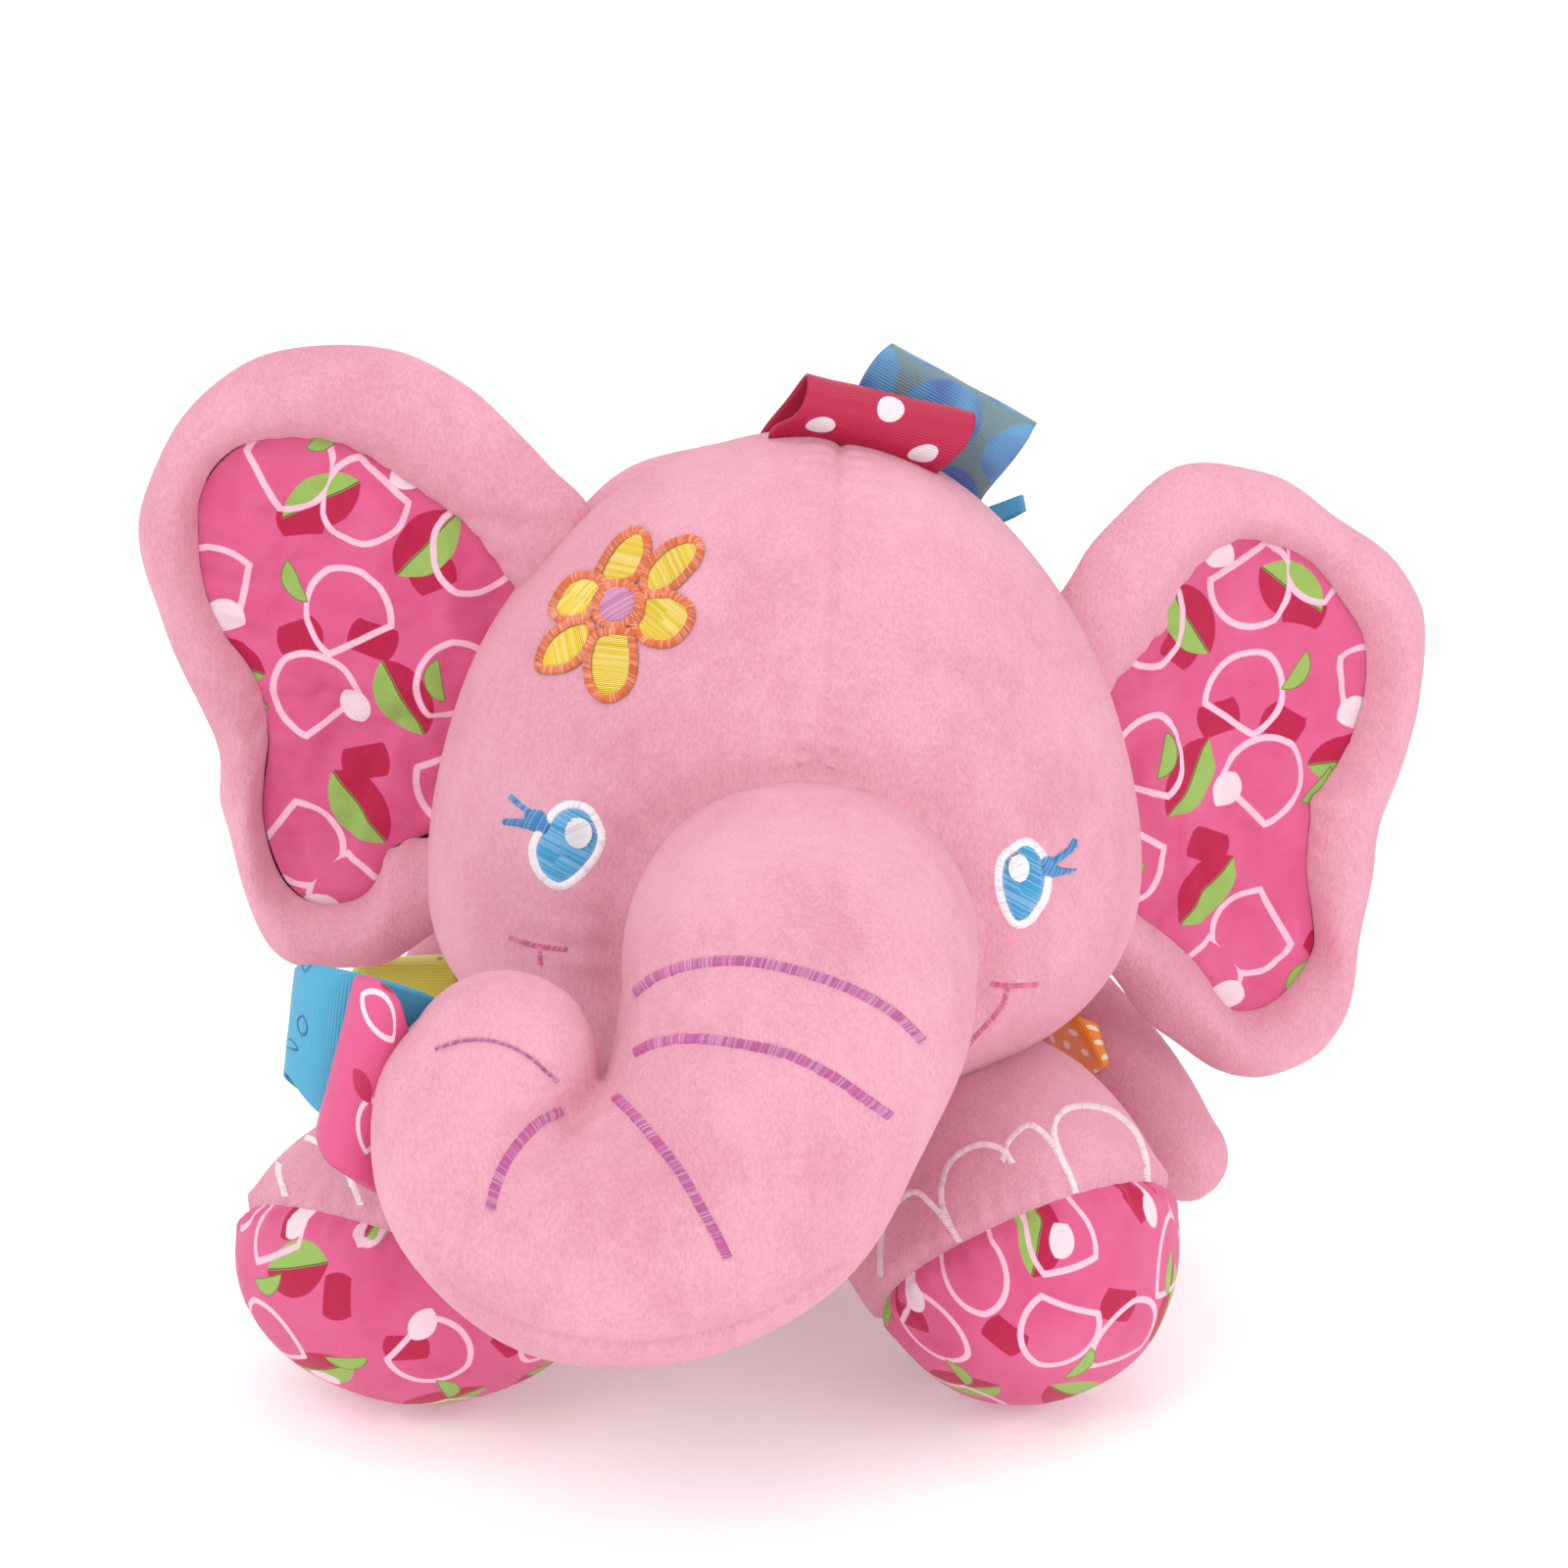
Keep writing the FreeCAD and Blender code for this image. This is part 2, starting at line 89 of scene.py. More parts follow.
# -------------------- mesh helpers
DOME_ANGLES = np.radians((8, 22, 36, 50, 64, 78))
SEAM_PUCKER_STEP = 4.5


def make_object(name, points, faces, material=None):
    mesh = bpy.data.meshes.new(name)
    mesh.from_pydata([Vector(p) * MM for p in points], [], faces)
    mesh.validate()
    mesh.update()
    obj = bpy.data.objects.new(name, mesh)
    bpy.context.scene.collection.objects.link(obj)
    if material:
        mesh.materials.append(material)
    mesh.shade_smooth()
    return obj


def read_points(obj):
    """The object's vertices in millimetres, as rows."""
    flat = np.empty(len(obj.data.vertices) * 3)
    obj.data.vertices.foreach_get("co", flat)
    return flat.reshape(-1, 3) / MM


def write_points(obj, points):
    obj.data.vertices.foreach_set("co", (np.asarray(points) * MM).ravel())
    obj.data.update()


def read_normals(obj):
    flat = np.empty(len(obj.data.vertices) * 3)
    obj.data.vertex_normals.foreach_get("vector", flat)
    return flat.reshape(-1, 3)


def apply_modifiers(obj):
    depsgraph = bpy.context.evaluated_depsgraph_get()
    mesh = bpy.data.meshes.new_from_object(obj.evaluated_get(depsgraph))
    obj.modifiers.clear()
    old = obj.data
    obj.data = mesh
    bpy.data.meshes.remove(old)
    mesh.shade_smooth()


def surface_of(obj):
    """A ray-casting tree of the object's surface, in millimetres."""
    faces = [tuple(p.vertices) for p in obj.data.polygons]
    return BVHTree.FromPolygons([Vector(p) for p in read_points(obj)], faces)


def land(surface, x, up):
    """Where the view ray through (x, up) first meets a surface, and the normal there."""
    ray = (plane_point(x, up) - CAMERA_PLACE).normalized()
    place, normal, _, _ = surface.ray_cast(CAMERA_PLACE, ray)
    return place, normal


def land_line(surface, line, step=1.0):
    """A view-plane line laid on a surface, as points in space; misses are dropped."""
    landed = [land(surface, x, up)[0] for x, up in resample(line, step)]
    return [p for p in landed if p is not None]


def land_behind(surface, x, low, high, step=2.0):
    """A line up the back of a surface, as points in space."""
    backwards = Vector((0, -1, 0))
    landed = [surface.ray_cast(Vector((x, 300, z)), backwards)[0] for z in np.arange(low, high, step)]
    return [p for p in landed if p is not None]


def smooth_curve(points, count, closed=False):
    """A Catmull-Rom curve through points of any dimension, as count rows."""
    points = np.asarray(points, float)
    total = len(points)
    spans = total if closed else total - 1
    rows = []
    for position in np.linspace(0, spans, count, endpoint=not closed):
        span = min(int(position), spans - 1)
        t = position - span
        if closed:
            p0, p1, p2, p3 = (points[(span + k) % total] for k in (-1, 0, 1, 2))
        else:
            p1, p2 = points[span], points[span + 1]
            p0 = points[span - 1] if span > 0 else 2 * p1 - p2
            p3 = points[span + 2] if span + 2 < total else 2 * p2 - p1
        rows.append(
            0.5 * (2 * p1 + (p2 - p0) * t + (2 * p0 - 5 * p1 + 4 * p2 - p3) * t * t
                   + (3 * p1 - p0 - 3 * p2 + p3) * t ** 3)
        )
    return np.array(rows)


def resample(line, step, closed=False):
    """Points at equal steps along a smooth curve through line."""
    dense = smooth_curve(line, 40 * len(line), closed)
    if closed:
        dense = np.vstack([dense, dense[:1]])
    lengths = np.concatenate([[0], np.cumsum(np.linalg.norm(np.diff(dense, axis=0), axis=1))])
    count = max(2, int(round(lengths[-1] / step)) + 1)
    at = np.linspace(0, lengths[-1], count)
    rows = np.column_stack([np.interp(at, lengths, dense[:, k]) for k in range(dense.shape[1])])
    return rows[:-1] if closed else rows


def ring_faces(rings, sides):
    """The quads between neighbouring rings of points, which all have the same sides."""
    faces = []
    for ring in range(rings - 1):
        for k in range(sides):
            after = (k + 1) % sides
            a, b = ring * sides, (ring + 1) * sides
            faces.append((a + k, a + after, b + after, b + k))
    return faces


def sweep(path, radii, rings, sides):
    """A round tube with domed ends along a smooth path: (points, faces)."""
    rows = smooth_curve(np.column_stack([path, radii]), rings)
    centres, widths = rows[:, :3], rows[:, 3]
    tangents = np.gradient(centres, axis=0)
    tangents /= np.linalg.norm(tangents, axis=1)[:, None]
    stations = list(zip(centres, tangents, widths))
    for angle in reversed(DOME_ANGLES):
        back = centres[0] - tangents[0] * widths[0] * math.cos(angle)
        stations.insert(0, (back, tangents[0], widths[0] * math.sin(angle)))
        ahead = centres[-1] + tangents[-1] * widths[-1] * math.cos(angle)
        stations.append((ahead, tangents[-1], widths[-1] * math.sin(angle)))
    side = np.cross(stations[0][1], (0.0, 0.0, 1.0))
    points = []
    for centre, tangent, width in stations:
        side = side - tangent * side.dot(tangent)
        side /= np.linalg.norm(side)
        other = np.cross(tangent, side)
        for k in range(sides):
            turn = 2 * math.pi * k / sides
            points.append(centre + width * (math.cos(turn) * side + math.sin(turn) * other))
    faces = ring_faces(len(stations), sides)
    faces.append(tuple(reversed(range(sides))))
    faces.append(tuple(range(len(points) - sides, len(points))))
    return points, faces


def fuse(name, shells, voxel, smoothing, material=None):
    """One smooth skin round several closed shells of points and faces."""
    points = []
    faces = []
    for shell_points, shell_faces in shells:
        start = len(points)
        points += [tuple(p) for p in shell_points]
        faces += [tuple(i + start for i in face) for face in shell_faces]
    obj = make_object(name, points, faces)
    remesh = obj.modifiers.new("remesh", "REMESH")
    remesh.mode = "VOXEL"
    remesh.voxel_size = voxel * MM
    smooth = obj.modifiers.new("smooth", "SMOOTH")
    smooth.iterations = smoothing
    smooth.factor = 0.5
    apply_modifiers(obj)
    if material:
        obj.data.materials.append(material)
    return obj


def ball(centre, radii, rings=40, sides=60, power=2.0):
    """An ellipsoid, or a boxier one if power is over 2: (points, faces)."""
    points = []
    for ring in range(rings + 1):
        rise = math.pi * (ring / rings - 0.5)
        rho, height = math.cos(rise), math.sin(rise)
        scale = (abs(rho) ** power + abs(height) ** power) ** (-1 / power)
        for k in range(sides):
            turn = 2 * math.pi * k / sides
            local = (rho * math.cos(turn) * scale, rho * math.sin(turn) * scale, height * scale)
            points.append([centre[i] + local[i] * radii[i] for i in range(3)])
    return points, ring_faces(rings + 1, sides)


def distance_to_line(points, line):
    """For each point, the distance to a line of points and the distance along it."""
    line = np.asarray(line, float)
    best = np.full(len(points), 1e9)
    along = np.zeros(len(points))
    walked = 0.0
    for a, b in zip(line[:-1], line[1:]):
        ab = b - a
        length = np.linalg.norm(ab)
        if length < 1e-9:
            continue
        t = np.clip((points - a) @ ab / length ** 2, 0, 1)
        gap = np.linalg.norm(points - (a + t[:, None] * ab), axis=1)
        nearer = gap < best
        best[nearer] = gap[nearer]
        along[nearer] = walked + t[nearer] * length
        walked += length
    return best, along


def refine_near(obj, line, distance, rounds=2):
    """Divides the mesh finely within a distance of a line."""
    for _ in range(rounds):
        gap, _ = distance_to_line(read_points(obj), line)
        near = gap < distance
        shape = bmesh.new()
        shape.from_mesh(obj.data)
        edges = [e for e in shape.edges if near[e.verts[0].index] and near[e.verts[1].index]]
        bmesh.ops.subdivide_edges(shape, edges=edges, cuts=1, use_grid_fill=True)
        bmesh.ops.triangulate(shape, faces=[f for f in shape.faces if len(f.verts) > 4])
        shape.to_mesh(obj.data)
        shape.free()
        obj.data.shade_smooth()


def press_seam(obj, line, depth, width, pucker=0.0, pucker_step=5.0):
    """Draws the surface in along a line, with small puckers beside it."""
    if len(line) < 2:
        return
    points = read_points(obj)
    normals = read_normals(obj)
    gap, along = distance_to_line(points, line)
    sink = depth * np.exp(-((gap / width) ** 2))
    beside = np.exp(-(((gap - width * 1.6) / (width * 1.3)) ** 2))
    wave = pucker * np.cos(2 * math.pi * along / pucker_step) * beside
    write_points(obj, points - normals * (sink + wave)[:, None])


def sew(obj, line, reach=4.0, rounds=1, hollow=(0.9, 3.4), cut=(1.1, 1.0), pucker=0.35):
    """A sewn seam: a broad puckered hollow with a sharp cut along its middle."""
    refine_near(obj, line, reach, rounds)
    press_seam(obj, line, *hollow, pucker=pucker, pucker_step=SEAM_PUCKER_STEP)
    press_seam(obj, line, *cut)


def lumps(obj, height, size, seed):
    """Soft unevenness of the filling."""
    points = read_points(obj)
    normals = read_normals(obj)
    shift = np.array([seed * 13.1, seed * 7.7, seed * 3.3])
    rise = np.array([noise.noise(Vector((p + shift) / size)) for p in points])
    write_points(obj, points + normals * (rise * height)[:, None])


def give_cloth(obj, places):
    """Records each vertex's place on the flat cloth, in millimetres, for the printed patterns."""
    cloth = obj.data.attributes.new("cloth_mm", "FLOAT_VECTOR", "POINT")
    cloth.data.foreach_set("vector", [c for u, v in places for c in (u, v, 0.0)])


# -------------------- materials
class Shader:
    """Short names for building a material's nodes."""

    def __init__(self, name):
        self.material = bpy.data.materials.new(name)
        self.material.use_nodes = True
        self.tree = self.material.node_tree
        self.surface = self.tree.nodes["Principled BSDF"]

    def add(self, kind, inputs=None, **settings):
        made = self.tree.nodes.new(kind)
        for key, value in settings.items():
            setattr(made, key, value)
        for key, value in (inputs or {}).items():
            self.set(made.inputs[key], value)
        return made

    def set(self, socket, value):
        if isinstance(value, bpy.types.NodeSocket):
            self.tree.links.new(value, socket)
        else:
            socket.default_value = value

    def finish(self, **inputs):
        for key, value in inputs.items():
            self.set(self.surface.inputs[key.replace("_", " ")], value)
        return self.material

    def math(self, operation, a, b=0.0, clamp=False):
        return self.add("ShaderNodeMath", {0: a, 1: b}, operation=operation, use_clamp=clamp).outputs[0]

    def vector_math(self, operation, a, b=(0, 0, 0)):
        return self.add("ShaderNodeVectorMath", {0: a, 1: b}, operation=operation).outputs[0]

    def scaled(self, vector, factor):
        made = self.add("ShaderNodeVectorMath", {0: vector}, operation="SCALE")
        self.set(made.inputs["Scale"], factor)
        return made.outputs[0]

    def split(self, vector):
        return self.add("ShaderNodeSeparateXYZ", {"Vector": vector}).outputs

    def length(self, vector):
        return self.add("ShaderNodeVectorMath", {0: vector}, operation="LENGTH").outputs["Value"]

    def mix(self, factor, a, b, blend="MIX"):
        made = self.add("ShaderNodeMix", data_type="RGBA", blend_type=blend)
        self.set(made.inputs[0], factor)
        self.set(made.inputs[6], a)
        self.set(made.inputs[7], b)
        return made.outputs[2]

    def noise(self, vector, scale, detail=2.0, roughness=0.5):
        inputs = {"Vector": vector, "Scale": scale, "Detail": detail, "Roughness": roughness}
        return self.add("ShaderNodeTexNoise", inputs).outputs["Fac"]

    def range(self, value, low, high, to_low=0.0, to_high=1.0):
        inputs = {"Value": value, "From Min": low, "From Max": high, "To Min": to_low, "To Max": to_high}
        return self.add("ShaderNodeMapRange", inputs).outputs["Result"]

    def bump(self, height, strength, distance_mm, normal=None):
        inputs = {"Height": height, "Strength": strength, "Distance": distance_mm * MM}
        if normal is not None:
            inputs["Normal"] = normal
        return self.add("ShaderNodeBump", inputs).outputs["Normal"]

    def place(self):
        """Object coordinates, in millimetres."""
        return self.scaled(self.add("ShaderNodeTexCoord").outputs["Object"], 1 / MM)

    def attribute(self, name, output="Vector"):
        return self.add("ShaderNodeAttribute", attribute_name=name).outputs[output]


def colour(red, green, blue):
    """A colour given as display values from 0 to 255, as linear light."""
    linear = [((c / 255 + 0.055) / 1.055) ** 2.4 if c > 10 else c / 255 / 12.92 for c in (red, green, blue)]
    return (*linear, 1.0)


PILE_GLOW_DEPTH = 3.0


def plush(name, light, deep):
    """Short velvety pile: brushed patches, a fine fibre grain and a pale sheen at the edges."""
    s = Shader(name)
    place = s.place()
    brushed = s.vector_math("MULTIPLY", place, (1.0, 1.0, 0.45))
    patches = s.noise(place, 0.028, 2.0)
    strokes = s.noise(brushed, 0.22, 3.0, 0.5)
    grain = s.noise(brushed, 1.5, 3.0, 0.8)
    tone = s.math("ADD", s.math("MULTIPLY", patches, 0.35), s.math("MULTIPLY", strokes, 0.15))
    tone = s.math("ADD", tone, s.math("MULTIPLY", grain, 0.50))
    base = s.mix(s.range(tone, 0.36, 0.66), deep, light)
    relief = s.math("ADD", s.math("MULTIPLY", grain, 0.9), s.math("MULTIPLY", strokes, 0.3))
    return s.finish(
        Base_Color=base,
        Roughness=0.95,
        Sheen_Weight=0.35,
        Sheen_Roughness=0.5,
        Sheen_Tint=colour(255, 205, 215),
        Specular_IOR_Level=0.08,
        Subsurface_Weight=0.15,
        Subsurface_Radius=(1.0, 0.30, 0.35),
        Subsurface_Scale=PILE_GLOW_DEPTH * MM,
        Normal=s.bump(relief, 0.75, 0.75),
    )


def weave_relief(s, cloth, threads_per_mm):
    """A plain weave's height from flat cloth coordinates in millimetres."""
    split = s.split(cloth)
    turns = 2 * math.pi * threads_per_mm
    across = s.math("SINE", s.math("MULTIPLY", split["X"], turns))
    along = s.math("SINE", s.math("MULTIPLY", split["Y"], turns))
    return s.math("MULTIPLY", across, along)


def leaf(s, cloth, cell, seed, half_length, half_width):
    """One leaf shape in each cell of a loose grid, turned at random.

    Gives the distance to its edge (below zero inside), and the places across and along it.
    """
    offset = s.vector_math("ADD", cloth, (seed * 17.3, seed * 9.1, 0))
    in_cells = s.scaled(offset, 1 / cell)
    inputs = {"Vector": in_cells, "Scale": 1.0, "Randomness": 0.6}
    cells = s.add("ShaderNodeTexVoronoi", inputs, voronoi_dimensions="2D", feature="F1")
    local = s.scaled(s.vector_math("SUBTRACT", in_cells, cells.outputs["Position"]), cell)
    dice = s.add("ShaderNodeSeparateColor", {"Color": cells.outputs["Color"]}).outputs["Red"]
    turn = s.math("MULTIPLY", dice, 2 * math.pi)
    turned = s.add("ShaderNodeVectorRotate", {"Vector": local, "Angle": turn}, rotation_type="Z_AXIS")
    local = s.vector_math("MULTIPLY", turned.outputs[0], (1, 1, 0))
    radius = (half_length ** 2 + half_width ** 2) / (2 * half_width)
    sideways = radius - half_width
    one = s.length(s.vector_math("SUBTRACT", local, (sideways, 0, 0)))
    other = s.length(s.vector_math("ADD", local, (sideways, 0, 0)))
    edge = s.math("SUBTRACT", s.math("MAXIMUM", one, other), radius)
    split = s.split(local)
    return edge, split["X"], split["Y"]


def band(s, edge, half_width):
    """The distance to a stripe that follows an edge."""
    return s.math("SUBTRACT", s.math("ABSOLUTE", edge), half_width)


def painted(s, base, edge, paint, softness=0.12):
    """The base with paint wherever the distance to an edge is below zero."""
    return s.mix(s.range(edge, softness, -softness), base, paint)


def printed_cloth(name):
    """Pink cotton printed with two-tone leaves, pale leaf outlines and loose petals."""
    s = Shader(name)
    cloth = s.attribute("cloth_mm")
    petal = colour(180, 16, 68)
    green = colour(148, 182, 88)
    pale = colour(240, 192, 212)
    tone = s.noise(cloth, 0.05, 2.0)
    base = s.mix(s.range(tone, 0.3, 0.7), colour(208, 78, 126), colour(218, 97, 142))
    # loose petals cut square at both ends
    edge, _, along = leaf(s, cloth, 33, 1, 6.6, 5.6)
    base = painted(s, base, s.math("MAXIMUM", edge, band(s, along, 3.8)), petal)
    # leaves with one half green and the other deep pink
    edge, across, _ = leaf(s, cloth, 38, 6, 10.4, 6.2)
    halves = s.mix(s.range(across, -0.08, 0.08), green, petal)
    fold = band(s, s.math("ADD", across, 0.25), 0.16)
    base = painted(s, base, edge, painted(s, halves, fold, colour(86, 84, 44), 0.08))
    # pale leaf outlines cut square at one end
    edge, _, along = leaf(s, cloth, 28, 3, 11.0, 9.6)
    cut_edge = s.math("MAXIMUM", edge, s.math("SUBTRACT", along, 6.4))
    base = painted(s, base, band(s, cut_edge, 0.75), pale)
    # small half leaves
    edge, across, _ = leaf(s, cloth, 37, 4, 5.4, 4.4)
    half_edge = s.math("MAXIMUM", edge, s.math("ADD", across, 0.4))
    base = painted(s, base, half_edge, green)
    base = painted(s, base, band(s, half_edge, 0.14), colour(112, 120, 60), 0.08)
    # small pale petals
    edge, _, _ = leaf(s, cloth, 45, 12, 4.6, 3.4)
    base = painted(s, base, edge, colour(236, 212, 222))
    relief = weave_relief(s, cloth, 1.3)
    folds = s.noise(cloth, 0.12, 2.0)
    normal = s.bump(folds, 0.4, 1.4, s.bump(relief, 0.30, 0.14))
    return s.finish(
        Base_Color=base,
        Roughness=0.66,
        Sheen_Weight=0.12,
        Sheen_Roughness=0.5,
        Specular_IOR_Level=0.3,
        Normal=normal,
    )


THREADS_PER_MM = 1.5
CORDS_PER_MM = 2.2
SELVEDGE = (17.6, 18.2)


def satin(name, paint):
    """Glossy ribbon: fine lengthwise threads, a soft streaky shine in the roughness that is also painted
    into the colour, painted shade between the threads, and a printed pattern.
    """
    s = Shader(name)
    cloth = s.attribute("cloth_mm")
    base = paint(s, cloth)
    streaks = s.noise(s.vector_math("MULTIPLY", cloth, (0.06, 3.2, 1.0)), 1.0, 2.0)
    # Painted sheen: the same streaks lighten and darken the colour a little, as light and dark bands of
    # shine.
    base = s.mix(0.10, base, s.mix(streaks, (0, 0, 0, 1), (1, 1, 1, 1)), "OVERLAY")
    split = s.split(cloth)
    edge = s.math("ABSOLUTE", split["X"])
    threads = s.math("SINE", s.math("MULTIPLY", split["Y"], 2 * math.pi * THREADS_PER_MM))
    cords = s.math("SINE", s.math("MULTIPLY", split["X"], 2 * math.pi * CORDS_PER_MM))
    relief = s.math("ADD", s.math("MULTIPLY", threads, 0.8), s.math("MULTIPLY", cords, 0.2))
    # Painted shade: the colour is darkened in the grooves between the lengthwise threads.
    base = s.mix(s.range(threads, 1.0, -1.0, 0.0, 0.16), base, (0, 0, 0, 1))
    relief = s.math("ADD", relief, s.range(edge, *SELVEDGE, 0.0, 1.5))
    return s.finish(
        Base_Color=base,
        Roughness=s.range(streaks, 0.3, 0.7, 0.30, 0.42),
        Anisotropic=0.55,
        Specular_IOR_Level=0.5,
        Sheen_Weight=0.04,
        Normal=s.bump(relief, 0.5, 0.10),
    )


def lattice(s, cloth, step_x, step_y):
    """Places in a brick lattice of cells: the offset from each cell's middle, in mm."""
    split = s.split(cloth)
    row = s.math("FLOOR", s.math("DIVIDE", split["Y"], step_y))
    odd = s.math("MODULO", s.math("ABSOLUTE", row), 2.0)
    x = s.math("ADD", split["X"], s.math("MULTIPLY", odd, step_x / 2))
    x = s.math("ADD", x, 40 * step_x)
    x = s.math("SUBTRACT", s.math("MODULO", x, step_x), step_x / 2)
    y = s.math("SUBTRACT", split["Y"], s.math("MULTIPLY", s.math("ADD", row, 0.5), step_y))
    return s.add("ShaderNodeCombineXYZ", {"X": x, "Y": y}).outputs[0]


def dots(step_x, step_y, radius, ground, tint, shift=0.0):
    """A paint of round dots in a brick lattice."""
    def paint(s, cloth):
        if shift:
            cloth = s.vector_math("ADD", cloth, (0, shift, 0))
        spot = s.math("SUBTRACT", s.length(lattice(s, cloth, step_x, step_y)), radius)
        return painted(s, ground, spot, tint)
    return paint


def ovals_with_painted_reflection(s, cloth):
    oval_edge = s.math("SUBTRACT", s.length(lattice(s, cloth, 21, 18)), 9.0)
    # Printed blue ovals, whose fill goes from darker purple-blue to lighter teal in soft patches: a painted
    # reflection on the satin.
    painted_reflection_patches = s.noise(cloth, 0.09, 1.0)
    inner = s.mix(s.range(painted_reflection_patches, 0.38, 0.62), colour(82, 112, 178), colour(96, 158, 204))
    return painted(s, colour(112, 140, 148), oval_edge, inner, 0.3)


def leaf_sprigs(s, cloth):
    edge, _, _ = leaf(s, cloth, 15, 3, 3.0, 1.5)
    return painted(s, colour(72, 172, 208), band(s, edge, 0.3), colour(32, 96, 140))


def loose_petals(s, cloth):
    edge, _, _ = leaf(s, cloth, 17, 4, 5.2, 3.4)
    base = painted(s, colour(226, 84, 140), band(s, edge, 0.55), colour(252, 224, 234))
    edge, _, _ = leaf(s, cloth, 19, 9, 3.6, 2.2)
    return painted(s, base, edge, colour(196, 24, 84))


def plain_blue(s, cloth):
    return colour(58, 160, 204)


MAGENTA_DOTS = dots(24.7, 8.5, 3.0, colour(184, 4, 66), colour(232, 222, 228), shift=3.7)
GREEN_DOTS = dots(15, 9, 0.8, colour(214, 220, 84), colour(120, 150, 60))
ORANGE_DOTS = dots(8, 6, 1.5, colour(244, 142, 34), colour(252, 236, 214))


def thread(name, tint):
    """Embroidery thread: its tone differs at random from stitch to stitch, with a painted highlight along
    the crown of each stitch and painted shade in the gaps between.
    """
    s = Shader(name)
    tone = s.attribute("stitch_shade_tone", "Fac")
    # Painted shade where the tone falls to zero at each stitch's edges, and a painted highlight along the
    # crowns whose tone is high.
    gap = tuple(c * 0.22 for c in tint[:3]) + (1.0,)
    painted_crown_highlight = tuple(c + (1 - c) * 0.35 for c in tint[:3]) + (1.0,)
    base = s.mix(s.range(tone, 0.0, 0.55), gap, tint)
    base = s.mix(s.range(tone, 0.65, 1.0, 0.0, 0.8), base, painted_crown_highlight)
    grain = s.noise(s.place(), 6.0, 2.0)
    return s.finish(
        Base_Color=base,
        Roughness=0.38,
        Specular_IOR_Level=0.5,
        Sheen_Weight=0.2,
        Normal=s.bump(grain, 0.3, 0.06),
    )


PLUSH = plush("pink_plush", colour(237, 178, 194), colour(216, 142, 162))
PRINT = printed_cloth("printed_cloth")
SATINS = {
    name: satin(name, paint) for name, paint in (
        ("magenta_satin", MAGENTA_DOTS), ("blue_oval_satin", ovals_with_painted_reflection),
        ("blue_sprig_satin", leaf_sprigs), ("pink_petal_satin", loose_petals),
        ("green_satin", GREEN_DOTS), ("orange_satin", ORANGE_DOTS), ("narrow_blue_satin", plain_blue),
    )
}
THREADS = {
    "blue": thread("blue_thread", colour(52, 168, 220)),
    "lash": thread("lash_thread", colour(40, 132, 196)),
    "white": thread("white_thread", colour(250, 244, 248)),
    "pale": thread("toenail_thread", colour(252, 226, 234)),
    "purple": thread("purple_thread", colour(198, 92, 156)),
    "mouth": thread("mouth_thread", colour(220, 96, 146)),
    "yellow": thread("yellow_thread", colour(238, 205, 40)),
    "orange": thread("orange_thread", colour(228, 112, 52)),
    "lilac": thread("lilac_thread", colour(206, 132, 178)),
}


# -------------------- embroidery
STITCH_OVERLAP = 0.45
STITCH_SPACING = 0.42
STITCH_STEPS = 4
STITCH_SECTION = ((-1, 0.0), (-0.5, 0.8), (0.5, 0.8), (1, 0.0))
SHORTEST_STITCH = 0.05
BORDER_WIDTH = 1.9
SMILE_WIDTH = 1.3
TOENAIL_WIDTH = 1.5
WRINKLE_WIDTH = 2.5
TIP_WRINKLE_WIDTH = 0.8


